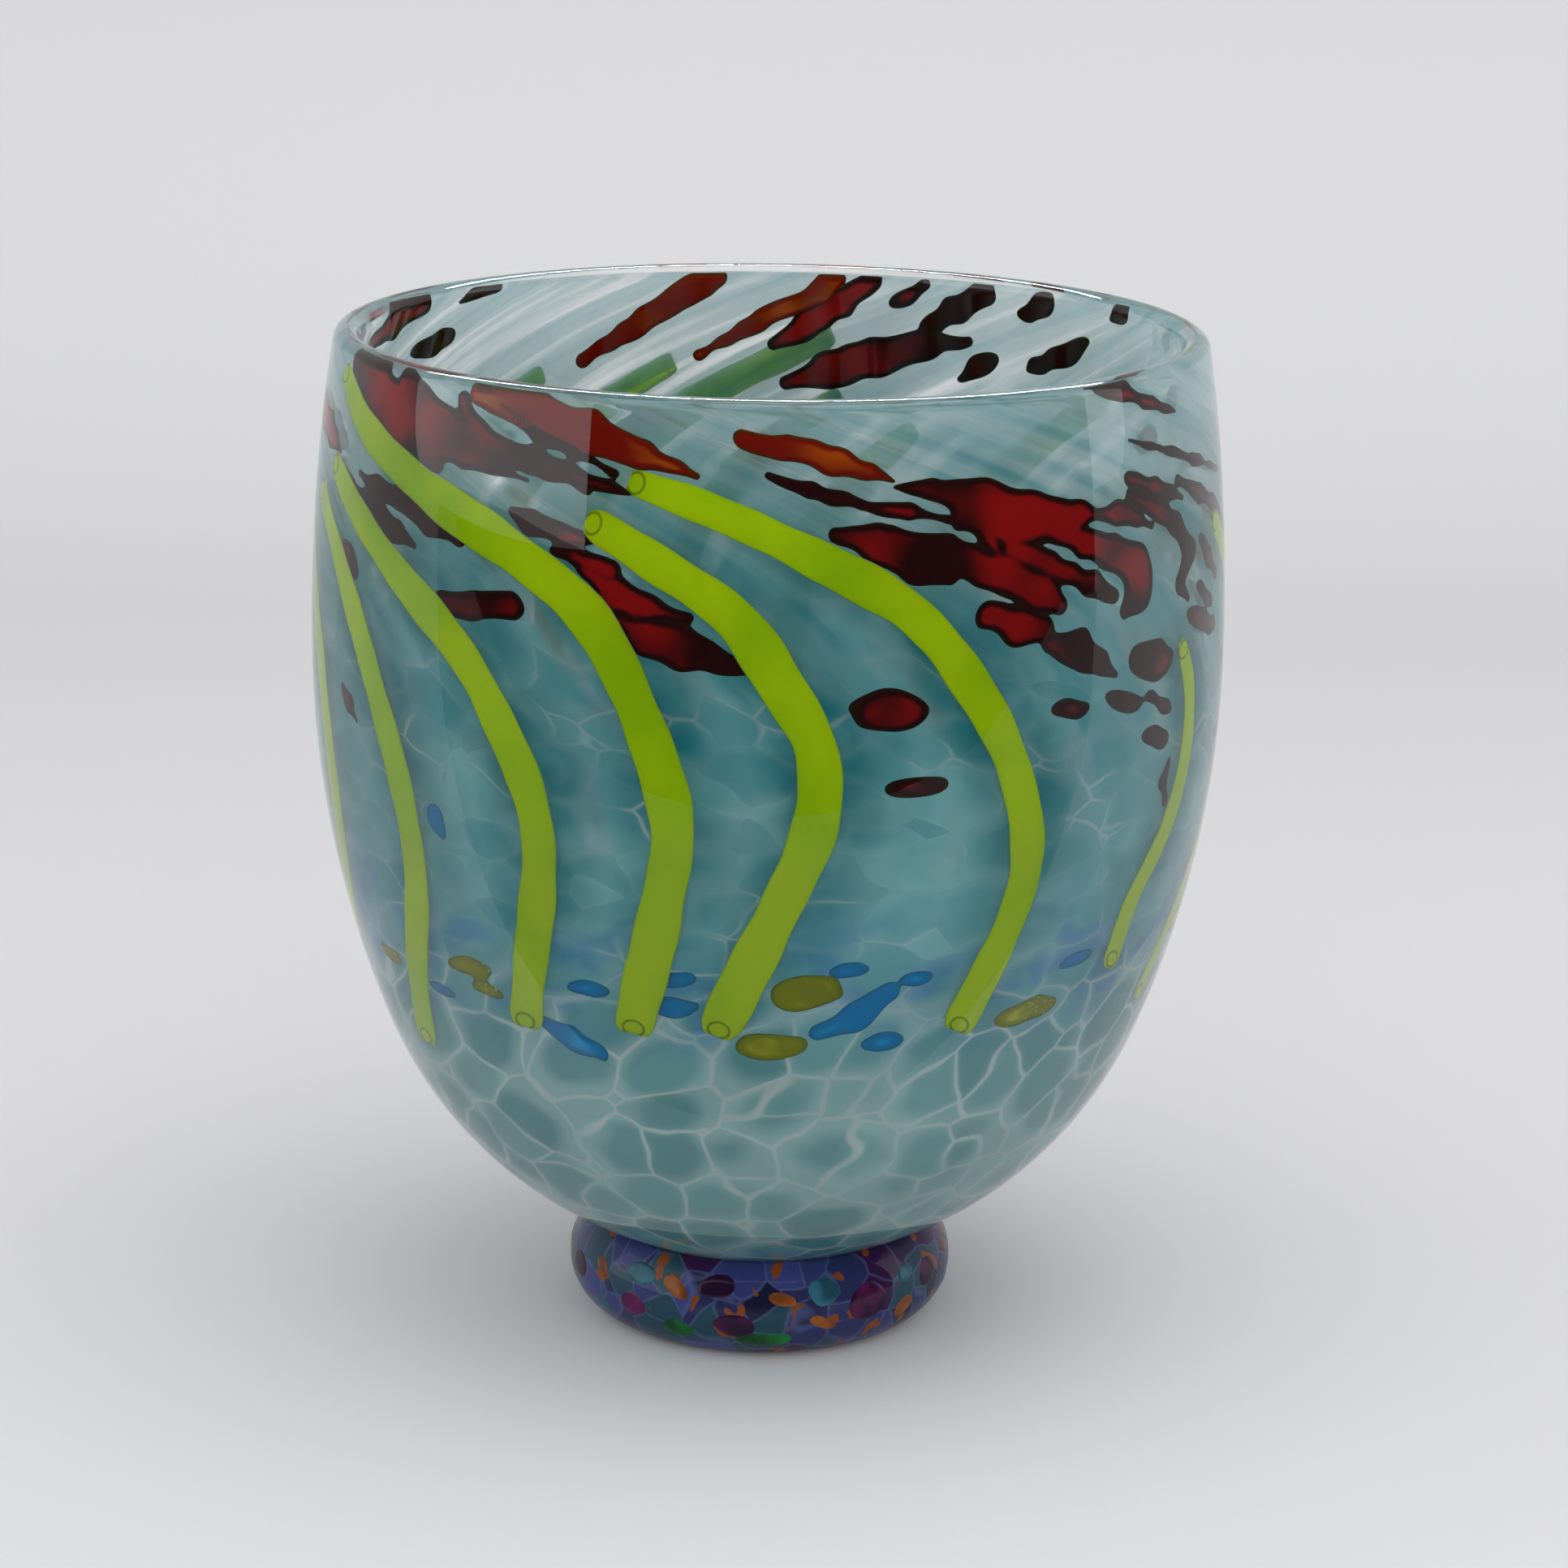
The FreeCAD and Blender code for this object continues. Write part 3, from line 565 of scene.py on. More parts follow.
def clipped_cells(inside):
    """The grid's cells cut to where the field is negative: polygons of corner pairs and a share between."""
    live = (inside[:-1, :-1] < 0) | (inside[1:, :-1] < 0) | (inside[1:, 1:] < 0) | (inside[:-1, 1:] < 0)
    for i, j in np.argwhere(live):
        corners = [(i, j), (i, j + 1), (i + 1, j + 1), (i + 1, j)]
        polygon = []
        for here, following in zip(corners, corners[1:] + corners[:1]):
            a, b = inside[here], inside[following]
            if a < 0:
                polygon.append((here, here, 0.0))
            if (a < 0) != (b < 0):
                first, second = sorted((here, following))
                x, y = inside[first], inside[second]
                polygon.append((first, second, x / (x - y)))
        if len(polygon) >= 3:
            yield polygon


def chips(name, strokes, place, radius, middle, crown_out, crown_in, top, step=CHIP_GRID, swell=CHIP_SWELL):
    """Closed lens-shaped chips in a wall, one mesh for the group. place turns azimuth, height and depth into
    a point, and radius is the wall's mean radius there."""
    per_degree = math.radians(radius)
    flat = [[(a * per_degree, h, w) for a, h, w in stroke] for stroke in strokes]
    every = np.array([point for stroke in flat for point in stroke])
    margin = every[:, 2].max() + 2
    u_axis = np.arange(every[:, 0].min() - margin, every[:, 0].max() + margin, step)
    v_axis = np.arange(every[:, 1].min() - margin, every[:, 1].max() + margin, step)
    u, v = np.meshgrid(u_axis, v_axis)
    field = edge_distance(u, v, flat, CHIP_MELT) + ripple(u, v)
    field = np.maximum(field, v - top)
    points = []
    rims = []
    index = {}

    def corner(key):
        """The outer and inner point of one corner, or one shared point on the chip's edge."""
        first, second, t = key
        if key in index:
            return index[key]
        at_u = u[first] * (1 - t) + u[second] * t
        at_v = v[first] * (1 - t) + v[second] * t
        rim = 0.0 if first != second else min(1.0, -field[first] / swell)
        crown = math.sqrt(1 - (1 - rim) ** 2)
        azimuth = at_u / per_degree
        outer = len(points)
        points.append(place(azimuth, at_v, middle - crown_out * crown))
        rims.append(rim)
        inner = outer
        if first == second:
            inner = len(points)
            points.append(place(azimuth, at_v, middle + crown_in * crown))
            rims.append(rim)
        index[key] = (outer, inner)
        return index[key]

    faces = []
    for polygon in clipped_cells(field):
        pairs = [corner((tuple(first), tuple(second), t)) for first, second, t in polygon]
        faces.append([pair[0] for pair in pairs])
        faces.append([pair[1] for pair in reversed(pairs)])
    thing = make_glass(name, points, faces)
    store(thing, "rim", rims)
    store(thing, "height", [p[2] / HEIGHT for p in points])
    return thing


# ---- materials


def linear(value):
    value /= 255
    return value / 12.92 if value <= 0.04045 else ((value + 0.055) / 1.055) ** 2.4


def colour(red, green, blue):
    """A display colour, 0 to 255, as Blender's linear colour."""
    return (linear(red), linear(green), linear(blue), 1)


def new_material(name):
    material = bpy.data.materials.new(name)
    material.use_nodes = True
    material.node_tree.nodes.clear()
    return material, material.node_tree


def add(tree, kind, inputs=(), **settings):
    """A node with its settings and inputs; an input is a value or another node's output."""
    made = tree.nodes.new(kind)
    for key, value in settings.items():
        setattr(made, key, value)
    for key, value in dict(inputs).items():
        if isinstance(value, bpy.types.NodeSocket):
            tree.links.new(value, made.inputs[key])
        else:
            made.inputs[key].default_value = value
    return made


def maths(tree, operation, first, second=0.0, clamp=False):
    return add(tree, "ShaderNodeMath", {0: first, 1: second}, operation=operation, use_clamp=clamp).outputs[0]


def fade(tree, value, low, high, start=0.0, end=1.0):
    """A smooth change from start to end as value goes from low to high."""
    limits = {"Value": value, "From Min": low, "From Max": high, "To Min": start, "To Max": end}
    return add(tree, "ShaderNodeMapRange", limits, interpolation_type="SMOOTHSTEP").outputs["Result"]


def mix(tree, factor, first, second, blend="MIX"):
    made = add(tree, "ShaderNodeMix", data_type="RGBA", blend_type=blend)
    for key, value in ((0, factor), (6, first), (7, second)):
        if isinstance(value, bpy.types.NodeSocket):
            tree.links.new(value, made.inputs[key])
        else:
            made.inputs[key].default_value = value
    return made.outputs[2]


def attribute(tree, name, output="Fac"):
    return add(tree, "ShaderNodeAttribute", attribute_name=name).outputs[output]


def noise(tree, vector, scale, detail=2.0, output="Fac"):
    inputs = {"Vector": vector, "Scale": scale, "Detail": detail}
    return add(tree, "ShaderNodeTexNoise", inputs).outputs[output]


def vector_maths(tree, operation, first, second):
    return add(tree, "ShaderNodeVectorMath", {0: first, 1: second}, operation=operation).outputs[0]


def stretch(tree, vector, scale):
    return vector_maths(tree, "MULTIPLY", vector, scale)


def warp(tree, vector, scale, amount):
    """The vector pushed about by noise."""
    push = noise(tree, vector, scale, 1.0, "Color")
    centred = vector_maths(tree, "SUBTRACT", push, (0.5, 0.5, 0.5))
    return vector_maths(tree, "ADD", vector, stretch(tree, centred, (amount,) * 3))


def finish(tree, shader):
    add(tree, "ShaderNodeOutputMaterial", {"Surface": shader})


def glowing(tree, tint, through, opacity=None):
    """Coloured glass seen as a lit layer: part of the light comes back, part comes through."""
    back = add(tree, "ShaderNodeBsdfDiffuse", {"Color": tint}).outputs[0]
    front = add(tree, "ShaderNodeBsdfTranslucent", {"Color": tint}).outputs[0]
    shader = add(tree, "ShaderNodeMixShader", {0: through, 1: back, 2: front}).outputs[0]
    if opacity is not None:
        clear = add(tree, "ShaderNodeBsdfTransparent", {"Color": (1, 1, 1, 1)}).outputs[0]
        shader = add(tree, "ShaderNodeMixShader", {0: opacity, 1: clear, 2: shader}).outputs[0]
    finish(tree, shader)


def clear_glass(name, tint):
    """Fire-polished clear glass with the faint waves of hand work."""
    material, tree = new_material(name)
    place = add(tree, "ShaderNodeTexCoord").outputs["Object"]
    waves = noise(tree, place, 28.0, 1.0)
    bump = add(tree, "ShaderNodeBump", {"Height": waves, "Strength": 0.05, "Distance": 0.004}).outputs[0]
    settings = {"Base Color": tint, "Roughness": 0.0, "IOR": 1.5, "Transmission Weight": 1.0, "Normal": bump}
    finish(tree, add(tree, "ShaderNodeBsdfPrincipled", settings).outputs[0])
    return material


def teal_body(tree, flow, bent, height, chance):
    """The teal chips' own colours: pale low down, deep in the middle, bluish between, paler at the top."""
    pale = mix(tree, chance, colour(104, 164, 168), colour(138, 192, 194))
    deep = mix(tree, chance, colour(112, 184, 192), colour(160, 222, 222))
    clouds = fade(tree, noise(tree, stretch(tree, bent, (0.5, 0.5, 0.3)), 1.0, 2.0), 0.36, 0.62)
    deep = mix(tree, maths(tree, "MULTIPLY", clouds, 0.55), deep, colour(84, 168, 178))
    tint = mix(tree, fade(tree, height, 0.36, 0.50), pale, deep)
    band = maths(tree, "MULTIPLY", fade(tree, height, 0.36, 0.43), fade(tree, height, 0.56, 0.47))
    patches = fade(tree, noise(tree, flow, 0.9, 2.0), 0.45, 0.62, 0.1, 0.8)
    tint = mix(tree, maths(tree, "MULTIPLY", band, patches), tint, colour(84, 152, 204))
    top = mix(tree, chance, colour(160, 204, 208), colour(190, 224, 226))
    return mix(tree, fade(tree, height, 0.74, 0.92), tint, top)


def teal_streaks(tree, tint, bent, height):
    """Streaks drawn out in the upper half: the tint with them, and where the light ones are."""
    streaks = noise(tree, stretch(tree, bent, (1.2, 1.2, 0.3)), 1.2, 2.0)
    upper = fade(tree, height, 0.45, 0.85)
    light = maths(tree, "MULTIPLY", fade(tree, streaks, 0.50, 0.76), upper)
    tint = mix(tree, maths(tree, "MULTIPLY", light, 0.75), tint, colour(244, 252, 252))
    dark = maths(tree, "MULTIPLY", fade(tree, streaks, 0.50, 0.30), upper)
    return mix(tree, maths(tree, "MULTIPLY", dark, 0.7), tint, colour(76, 170, 180)), light


def teal_joins(tree, tint, flow, height, blur, edge, corner):
    """Pale haloes where the teal chips meet, and white lines along some joins that are partly clear glass and
    partly a painted glint of light coming through: the tint with them, and where the lines are.
    """
    seam = maths(tree, "MULTIPLY", fade(tree, edge, 0.13, 0.0), 0.4)
    soft = maths(tree, "MAXIMUM", fade(tree, corner, 0.42, 0.75), seam)
    halo = maths(tree, "MULTIPLY", soft, fade(tree, height, 0.5, 0.38, 0.14, 0.55))
    tint = mix(tree, halo, tint, colour(206, 234, 232))
    gate = fade(tree, noise(tree, flow, 0.6, 1.0), 0.5, 0.68)
    few = maths(tree, "MULTIPLY", gate, fade(tree, height, 0.85, 0.6, 0.0, 0.45))
    many = maths(tree, "MULTIPLY", fade(tree, height, 0.47, 0.37), fade(tree, blur, 0.3, 0.6, 0.35, 1.0))
    line = maths(tree, "MULTIPLY", fade(tree, edge, 0.045, 0.005), maths(tree, "MAXIMUM", many, few))
    # painted glint: the near-white of these lines stands for light coming through the clear glass at the joins
    white = maths(tree, "MULTIPLY", line, 0.85)
    return mix(tree, white, tint, colour(250, 255, 253)), white


def teal_glass():
    """Rounded pale cells low down, deeper colour and streaks above, and shadows beside the canes."""
    material, tree = new_material("teal_glass")
    flow = attribute(tree, "flow", "Vector")
    height = attribute(tree, "height")
    bent = warp(tree, flow, 0.9, 0.55)
    voronoi = {"Vector": bent, "Scale": 1.0, "Randomness": 0.9}
    cells = add(tree, "ShaderNodeTexVoronoi", voronoi, feature="F1")
    edge = add(tree, "ShaderNodeTexVoronoi", voronoi, feature="DISTANCE_TO_EDGE").outputs["Distance"]
    chance = add(tree, "ShaderNodeSeparateColor", {"Color": cells.outputs["Color"]}).outputs["Red"]

    tint = teal_body(tree, flow, bent, height, chance)
    tint, light_streak = teal_streaks(tree, tint, bent, height)
    blur = noise(tree, bent, 0.8, 2.0)
    shadow = maths(tree, "MULTIPLY", attribute(tree, "shade"), fade(tree, blur, 0.25, 0.6, 0.45, 1.0))
    tint = mix(tree, shadow, tint, colour(6, 124, 136))
    tint, white = teal_joins(tree, tint, flow, height, blur, edge, cells.outputs["Distance"])

    opacity = fade(tree, height, 0.72, 0.95, 0.96, 0.68)
    opacity = maths(tree, "SUBTRACT", opacity, maths(tree, "MULTIPLY", white, 0.3), clamp=True)
    opacity = maths(tree, "SUBTRACT", opacity, maths(tree, "MULTIPLY", light_streak, 0.6), clamp=True)
    glowing(tree, tint, 0.6, opacity)
    return material


def cane_glass():
    """Yellow-green cane with a pale worn edge, a dark loop where each end was closed, and a painted reflection
    that makes it a little paler low down.
    """
    material, tree = new_material("green_glass")
    rim = attribute(tree, "rim")
    height = attribute(tree, "height")
    across = attribute(tree, "across")
    from_end = attribute(tree, "from_end")
    place = add(tree, "ShaderNodeTexCoord").outputs["Object"]
    blotch = noise(tree, place, 45.0, 2.0)
    body = mix(tree, fade(tree, height, 0.45, 0.9), colour(206, 234, 2), colour(216, 242, 0))
    body = mix(tree, fade(tree, blotch, 0.42, 0.68), body, colour(190, 228, 0))
    # painted reflection: the cane is a little paler below about three fifths of the vase's height
    body = mix(tree, fade(tree, height, 0.62, 0.58, 0.0, 0.2), body, colour(204, 214, 90))
    edge = fade(tree, rim, 0.9, 1.0, 0.0, 0.6)
    body = mix(tree, edge, body, colour(150, 190, 120))
    long = maths(tree, "DIVIDE", maths(tree, "SUBTRACT", from_end, 2.2), 1.5)
    wide = maths(tree, "DIVIDE", across, 1.9)
    squares = maths(tree, "ADD", maths(tree, "POWER", long, 2.0), maths(tree, "POWER", wide, 2.0))
    off_loop = maths(tree, "ABSOLUTE", maths(tree, "SUBTRACT", maths(tree, "SQRT", squares), 1.0))
    loop = fade(tree, off_loop, 0.22, 0.05)
    body = mix(tree, maths(tree, "MULTIPLY", loop, 0.6), body, colour(80, 90, 12))
    glowing(tree, body, 0.45)
    return material


def chip_glass(name, heart, body, outline, through, grain=60.0, bubbles=0.0):
    """A melted chip: its outline, its body and the glow in its thickest part."""
    material, tree = new_material(name)
    rim = attribute(tree, "rim")
    place = add(tree, "ShaderNodeTexCoord").outputs["Object"]
    glow = fade(tree, noise(tree, place, grain, 2.0), 0.44, 0.62)
    tint = mix(tree, maths(tree, "MULTIPLY", glow, fade(tree, rim, 0.5, 1.0)), body, heart)
    tint = mix(tree, fade(tree, rim, 0.4, 0.08), tint, outline)
    if bubbles:
        spots = {"Vector": place, "Scale": 900.0}
        spot = add(tree, "ShaderNodeTexVoronoi", spots, feature="F1").outputs["Distance"]
        some = fade(tree, noise(tree, place, 60.0, 0.0), 0.5, 0.6)
        dots = maths(tree, "MULTIPLY", fade(tree, spot, 0.3, 0.2), some)
        tint = mix(tree, maths(tree, "MULTIPLY", dots, bubbles), tint, colour(225, 225, 170))
    glowing(tree, tint, through)
    return material


def glossy(tree, tint, place):
    """Coloured glass with a fire-polished surface."""
    waves = noise(tree, place, 60.0, 1.0)
    bump = add(tree, "ShaderNodeBump", {"Height": waves, "Strength": 0.12, "Distance": 0.002}).outputs[0]
    settings = {"Base Color": tint, "Roughness": 0.35, "Specular IOR Level": 0.05, "Normal": bump}
    settings |= {"Coat Weight": 0.4, "Coat Roughness": 0.03, "Coat IOR": 1.5, "Coat Normal": bump}
    finish(tree, add(tree, "ShaderNodeBsdfPrincipled", settings).outputs[0])


def foot_glass():
    """Dark blue, teal and violet chips with paler lines between them and orange grains."""
    material, tree = new_material("lavender_glass")
    place = add(tree, "ShaderNodeTexCoord").outputs["Object"]
    bent = warp(tree, place, 90.0, 0.006)
    cells = {"Vector": bent, "Scale": 150.0, "Randomness": 1.0}
    cell = add(tree, "ShaderNodeTexVoronoi", cells, feature="F1").outputs["Color"]
    edge = add(tree, "ShaderNodeTexVoronoi", cells, feature="DISTANCE_TO_EDGE").outputs["Distance"]
    parts = add(tree, "ShaderNodeSeparateColor", {"Color": cell})
    tint = mix(tree, parts.outputs["Red"], colour(10, 12, 38), colour(52, 60, 116))
    tint = mix(tree, fade(tree, parts.outputs["Green"], 0.6, 0.7), tint, colour(24, 56, 72))
    tint = mix(tree, fade(tree, parts.outputs["Blue"], 0.8, 0.86), tint, colour(40, 10, 54))
    tint = mix(tree, fade(tree, edge, 0.06, 0.0, 0.0, 0.25), tint, colour(96, 108, 150))
    grains = noise(tree, bent, 230.0, 1.0)
    tint = mix(tree, fade(tree, grains, 0.63, 0.67), tint, colour(112, 56, 18))
    glossy(tree, tint, place)
    return material


def foot_chip_glass(name, body, heart):
    material, tree = new_material(name)
    place = add(tree, "ShaderNodeTexCoord").outputs["Object"]
    clouds = noise(tree, place, 160.0, 2.0)
    tint = mix(tree, fade(tree, clouds, 0.4, 0.7), body, heart)
    glossy(tree, tint, place)
    return material


def paper():
    """Matt white paper with a faint mottle, and painted shade that makes it a little darker as it runs back
    and rises behind the vase.
    """
    material, tree = new_material("pale_paper")
    place = add(tree, "ShaderNodeTexCoord").outputs["Object"]
    away = add(tree, "ShaderNodeSeparateXYZ", {0: place})
    near, far = (0.73, 0.72, 0.725, 1), (0.64, 0.635, 0.635, 1)
    # painted shade: darker as the paper runs back, and darker again as it rises into the backdrop
    tint = mix(tree, fade(tree, away.outputs["Y"], 0.0, 0.7), near, far)
    tint = mix(tree, fade(tree, away.outputs["Z"], 0.0, 0.5), tint, (0.50, 0.485, 0.495, 1))
    mottle = noise(tree, place, 3.0, 2.0)
    tint = mix(tree, maths(tree, "MULTIPLY", mottle, 0.02), tint, (0.4, 0.4, 0.4, 1))
    finish(tree, add(tree, "ShaderNodeBsdfDiffuse", {"Color": tint}).outputs[0])
    return material


# ---- the vase's pieces


def keep(thing, nodes, slot, material):
    """A finished piece stands for its CAD nodes."""
    thing.data.materials.append(material)
    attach(thing, "root")
    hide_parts(*nodes)
    return thing


def make_wall():
    """The clear glass: an outer skin to the crest of the lip and an inner skin from there to the floor."""
    crest = math.pi / 2
    steps, lip_steps, around = 50, 12, 256
    outer = bowl_profile(0, BASE, LIP_LEAN, steps)
    outer += arc(BEAD_CENTRE, BEAD, LIP_LEAN, crest, lip_steps)[1:]
    inner = bowl_profile(LIP, INSIDE_FLOOR, LIP_LEAN, steps)
    inner += arc(BEAD_CENTRE, BEAD, LIP_LEAN + math.pi, crest, lip_steps)[1:]
    tint = (0.975, 0.99, 0.99, 1)
    casing = turned("casing", outer, around)
    keep(casing, ["clear_outer_casing"], "clear_glass", clear_glass("casing_glass", tint))
    gather = turned("inner_gather", inner[::-1], around)
    keep(gather, ["clear_inner_gather"], "clear_glass", clear_glass("inner_glass", tint))


def cane_paths():
    paths = [(smooth_path(points, 8), width) for points, width in FRONT_CANES]
    for azimuth, bottom, top, width in BACK_CANES:
        paths.append((smooth_path(swirled_path(azimuth, bottom, top), 6), width))
    return paths


def closeness(azimuths, heights, paths):
    """How near each point is to a cane, 0 to 1, reaching further on a cane's right than on its left."""
    near = np.zeros(len(azimuths))
    radius = bowl_radius(heights, 0)
    for path, width in paths:
        middle = np.interp(heights, path[:, 1], path[:, 0])
        offset = (azimuths - middle + 180) % 360 - 180
        slopes = np.diff(path[:, 0]) / np.diff(path[:, 1])
        slope = np.interp(heights, (path[1:, 1] + path[:-1, 1]) / 2, slopes)
        tilt = 1 / np.sqrt(1 + (np.radians(slope) * radius) ** 2)
        gap = np.radians(offset) * radius * tilt
        beyond = np.maximum(np.maximum(path[0, 1] - heights, heights - path[-1, 1]), 0)
        reach = np.where(gap > 0, SHADE_RIGHT, SHADE_LEFT)
        side = np.maximum(np.abs(gap) - width / 2, 0)
        near = np.maximum(near, np.exp(-(side**2 + beyond**2) / reach**2))
    return near


def make_teal_layer(paths):
    """One thin skin with the attributes its material follows."""
    top = math.asin((COLOUR_TOP - LEVEL) / (SHOULDER - COLOUR_DEPTH))
    thing = turned("teal_layer", bowl_profile(COLOUR_DEPTH, BASE - COLOUR_DEPTH, top, 66), 540)
    points = np.empty(len(thing.data.vertices) * 3)
    thing.data.vertices.foreach_get("co", points)
    points = points.reshape(-1, 3) / MM
    heights = points[:, 2]
    azimuths = np.degrees(np.arctan2(points[:, 0], -points[:, 1]))
    unswirled = np.radians(azimuths - swirl(np.maximum(heights, SWIRL_FLOOR)))
    girth = np.minimum(np.hypot(points[:, 0], points[:, 1]), FLOW_RADIUS) / FLOW_CELL
    rows = np.interp(heights, FLOW_HEIGHTS, FLOW_ROWS)
    flow = np.stack([girth * np.sin(unswirled), girth * np.cos(unswirled), rows], axis=-1)
    store_vectors(thing, "flow", flow)
    strength = np.interp(heights, SHADE_HEIGHTS, SHADE_STRENGTHS)
    store(thing, "shade", closeness(azimuths, heights, paths) * strength)
    store(thing, "height", heights / HEIGHT)
    return keep(thing, ["teal_chip_layer"], "teal_glass", teal_glass())


def make_canes(paths):
    material = cane_glass()
    for number, (path, width) in enumerate(paths, start=1):
        name = f"cane_{number:02d}"
        keep(cane(name, path, width, number), [f"green_cane_{number:02d}"], "green_glass", material)


def bowl_chip_looks():
    """Each chip colour's material, by the start of the chips' name."""
    red = colour(196, 18, 20), colour(58, 6, 6), colour(52, 34, 8)
    orange = colour(240, 122, 8), colour(168, 28, 2), colour(104, 70, 6)
    amber = colour(236, 226, 40), colour(176, 176, 10), colour(150, 160, 40)
    blue = colour(0, 205, 255), colour(0, 165, 225), colour(40, 160, 200)
    return {
        "dark_red": chip_glass("dark_red_glass", *red, through=0.5, grain=40.0),
        "orange": chip_glass("orange_glass", *orange, through=0.6, grain=40.0),
        "amber": chip_glass("amber_glass", *amber, through=0.6, grain=90.0, bubbles=0.8),
        "blue": chip_glass("blue_glass", *blue, through=0.6),
    }


def make_bowl_chips():
    looks = bowl_chip_looks()
    for name, strokes in BOWL_CHIPS.items():
        kind = name.split("_chips")[0]
        crowns = (COLOUR_DEPTH, CHIP_CROWN, CHIP_CROWN)
        thing = chips(name + "_melted", strokes, point_on_bowl, WIDEST - COLOUR_DEPTH, *crowns, CHIP_TOP)
        keep(thing, [name], kind + "_glass", looks[kind])


def oval_stroke(azimuth, height, length, width, fall):
    """An oval foot chip as a stroke along its length."""
    reach = (length - width) / 2 + 0.01
    turn = math.radians(fall)
    aside = math.degrees(reach * math.cos(turn) / FOOT_WIDEST)
    drop = reach * math.sin(turn)
    stroke = []
    for side in (-1, 1):
        level = min(max(height - side * drop, FOOT_CHIP_LOW), FOOT_CHIP_HIGH)
        stroke.append((azimuth + side * aside, level, width / 2))
    return stroke


def foot_profile():
    """The foot's outline: a shallow recess under it, its rounded side and the face that meets the bowl."""
    dome = (FOOT_RECESS**2 + FOOT_RECESS_DEPTH**2) / (2 * FOOT_RECESS_DEPTH)
    dome_turn = math.asin(FOOT_RECESS / dome)
    profile = arc((0, FOOT_RECESS_DEPTH - dome), dome, math.pi / 2, math.pi / 2 - dome_turn, 14)
    profile.append(((FOOT_RECESS + FOOT_REST) / 2, 0))
    lower_centre, lower = foot_arc(False)
    upper_centre, upper = foot_arc(True)
    rest_turn = math.atan2(-FOOT_LEVEL, FOOT_REST - lower_centre[0])
    seam_turn = math.asin((FOOT_SEAM - FOOT_LEVEL) / upper)
    profile += arc(lower_centre, lower, rest_turn, 0, 24)
    profile += arc(upper_centre, upper, 0, seam_turn, 20)[1:]
    base, _, _ = bowl_arcs(-SEAM_GAP, BASE + SEAM_GAP)
    meet = math.asin(profile[-1][0] / base[1]) - 0.01
    return profile + arc(*base, -math.pi / 2 + meet, -math.pi / 2, 16)


def make_foot():
    """The foot, and the chips melted into its side."""
    foot = turned("foot", foot_profile(), 200)
    keep(foot, ["foot_gather"], "lavender_glass", foot_glass())
    looks = {
        "foot_purple_chips": ("purple_glass", colour(30, 6, 36), colour(86, 12, 70)),
        "foot_orange_chips": ("orange_glass", colour(92, 44, 12), colour(128, 70, 22)),
        "foot_green_chips": ("deep_green_glass", colour(4, 54, 22), colour(10, 100, 44)),
        "foot_teal_chips": ("deep_teal_glass", colour(22, 64, 80), colour(40, 92, 108)),
    }
    crowns = (FOOT_CHIP_DEPTH, FOOT_CHIP_OUT, FOOT_CHIP_IN)
    cutting = (FOOT_CHIP_TOP, FOOT_CHIP_GRID, FOOT_CHIP_SWELL)
    for name, ovals in FOOT_CHIPS.items():
        slot, body, heart = looks[name]
        strokes = [oval_stroke(*oval) for oval in ovals]
        thing = chips(name + "_melted", strokes, point_on_foot, FOOT_WIDEST, *crowns, *cutting)
        keep(thing, [name], slot, foot_chip_glass(name + "_glass", body, heart))


# ---- the studio


def make_backdrop():
    """A pale table that ends behind the vase and curves up into a backdrop."""
    line = [(SWEEP_FRONT, 0), (0, 0), (SWEEP_BACK, 0)]
    for turn in np.linspace(0, math.pi / 2, 16)[1:]:
        line.append((SWEEP_BACK + SWEEP_BEND * math.sin(turn), SWEEP_BEND * (1 - math.cos(turn))))
    line.append((SWEEP_BACK + SWEEP_BEND, SWEEP_TOP))
    points = [(x / MM, y / MM, (z - SWEEP_BELOW) / MM) for y, z in line for x in (-SWEEP_WIDE, SWEEP_WIDE)]
    faces = [[2 * k, 2 * k + 1, 2 * k + 3, 2 * k + 2] for k in range(len(line) - 1)]
    sweep = make_object("sweep", points, faces)
    sweep.data.materials.append(paper())


def card(name, corners, material):
    """A card in the studio, seen only as a reflection. Its corners are in metres."""
    thing = make_object(name, np.array(corners) / MM, [[0, 1, 2, 3]])
    thing.data.materials.append(material)
    thing.visible_camera = False
    thing.visible_diffuse = False
    thing.visible_transmission = False
    thing.visible_volume_scatter = False
    thing.visible_shadow = False


def dim_light(name, scale, low, high):
    """A mottled glow between two brightnesses."""
    material, tree = new_material(name)
    place = add(tree, "ShaderNodeTexCoord").outputs["Object"]
    level = mix(tree, noise(tree, place, scale, 1.0), low, high)
    finish(tree, add(tree, "ShaderNodeEmission", {"Color": level, "Strength": 1.0}).outputs[0])
    return material


def make_cards():
    """The near edge of the table and the dim room in front of it."""
    table = dim_light("near_table", 2.0, (0.26, 0.265, 0.27, 1), (0.34, 0.345, 0.35, 1))
    dim = dim_light("dim_room", 0.8, (0.04, 0.042, 0.045, 1), (0.09, 0.092, 0.095, 1))
    far, right, tall = ROOM_FAR, ROOM_RIGHT, ROOM_TALL
    start, end = NEAR_TABLE_START, NEAR_TABLE_END
    low, above = CARD_LIFT
    card("near_table", [(far, start, low), (far, end, low), (right, end, low), (right, start, low)], table)
    card("dim_floor", [(far, end, above), (far, far, above), (right, far, above), (right, end, above)], dim)
    card("dim_front", [(far, far, 0), (right, far, 0), (right, far, tall), (far, far, tall)], dim)
    side = ROOM_RIGHT_END
    card("dim_right", [(right, far, 0), (right, side, 0), (right, side, tall), (right, far, tall)], dim)


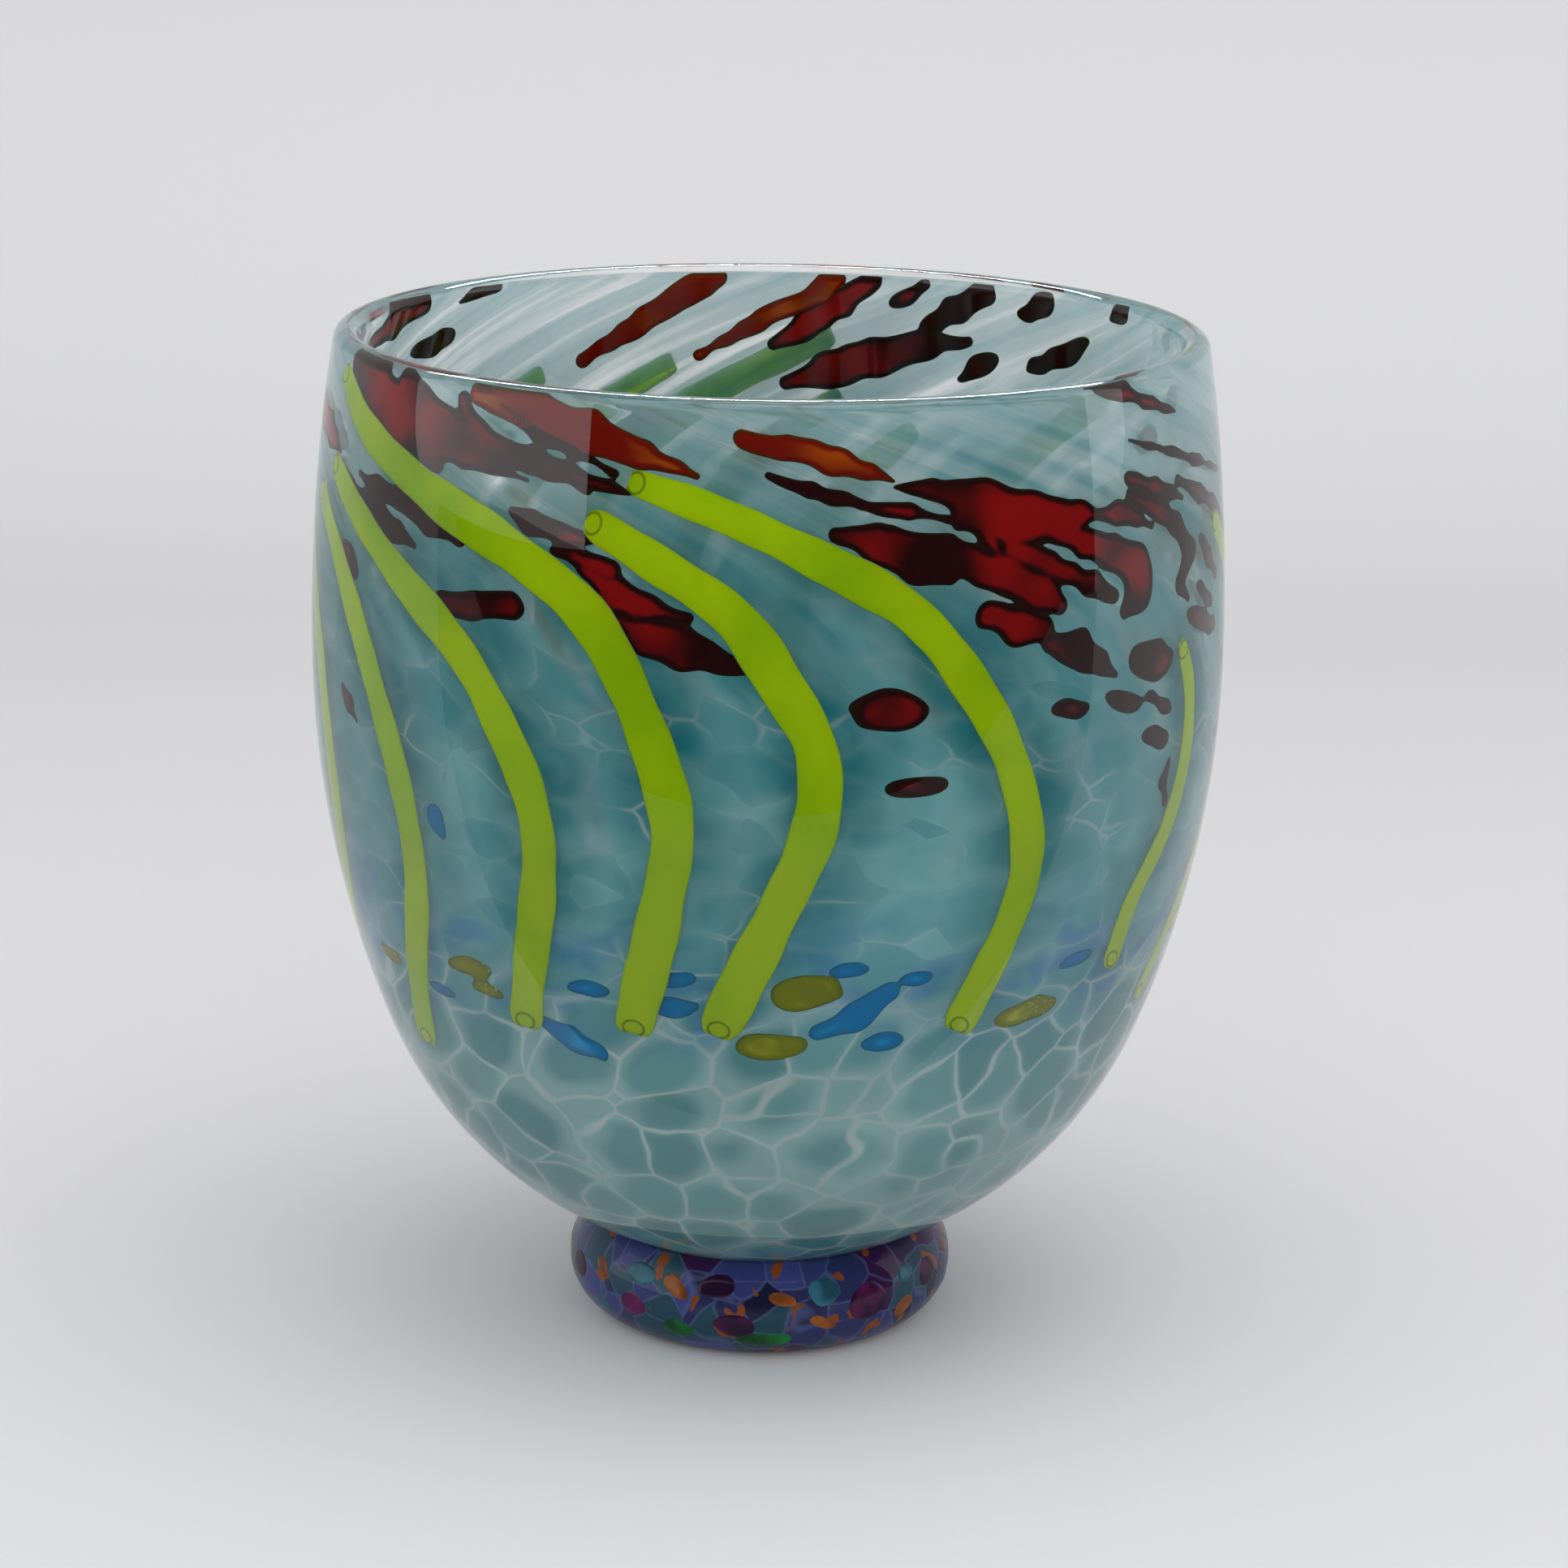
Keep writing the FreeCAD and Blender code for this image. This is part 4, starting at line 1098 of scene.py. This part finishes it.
def area_lamp(name, place, power, size, width=None):
    """A lamp that faces down: a disk, or a strip where it has a width."""
    lamp = bpy.data.lights.new(name, "AREA")
    lamp.shape = "RECTANGLE" if width else "DISK"
    lamp.size = size
    lamp.size_y = width or size
    lamp.energy = power
    thing = bpy.data.objects.new(name, lamp)
    thing.location = place
    bpy.context.scene.collection.objects.link(thing)
    return thing


def make_light():
    """A soft world, one wide lamp overhead and a tube behind the vase that draws a thin line along the lip."""
    world = bpy.data.worlds.new("studio")
    bpy.context.scene.world = world
    world.use_nodes = True
    tree = world.node_tree
    place = add(tree, "ShaderNodeTexCoord").outputs["Generated"]
    up = add(tree, "ShaderNodeSeparateXYZ", {0: place}).outputs["Z"]
    sky = tree.nodes["Background"]
    sky.inputs["Color"].default_value = (0.97, 0.985, 1.0, 1)
    tree.links.new(fade(tree, up, 0.0, 1.0, HORIZON_LIGHT, ZENITH_LIGHT), sky.inputs["Strength"])
    area_lamp("overhead", LAMP_PLACE, LAMP_POWER, LAMP_SIZE)
    tube = area_lamp("tube", TUBE_PLACE, TUBE_POWER, TUBE_LENGTH, TUBE_WIDTH)
    tube.visible_diffuse = False
    tube.visible_transmission = False


def make_camera():
    """A long lens a little above the lip, tipped down, turned a trace about its own axis."""
    camera = bpy.data.cameras.new("camera")
    camera.lens = CAMERA_LENS
    camera.sensor_width = CAMERA_SENSOR
    thing = bpy.data.objects.new("camera", camera)
    tip = Matrix.Rotation(math.pi / 2 - math.radians(CAMERA_TIP), 4, "X")
    roll = Matrix.Rotation(math.radians(CAMERA_ROLL), 4, "Z")
    thing.matrix_world = Matrix.Translation(Vector(CAMERA_PLACE)) @ tip @ roll
    bpy.context.scene.collection.objects.link(thing)
    bpy.context.scene.camera = thing


def set_render():
    scene = bpy.context.scene
    scene.view_settings.view_transform = "Standard"
    scene.cycles.max_bounces = 14
    scene.cycles.transmission_bounces = 12
    scene.cycles.transparent_max_bounces = 24
    scene.cycles.diffuse_bounces = 4
    scene.cycles.glossy_bounces = 4
    scene.cycles.sample_clamp_indirect = 4.0


paths = cane_paths()
make_wall()
make_teal_layer(paths)
make_canes(paths)
make_bowl_chips()
make_foot()
make_backdrop()
make_cards()
make_light()
make_camera()
set_render()
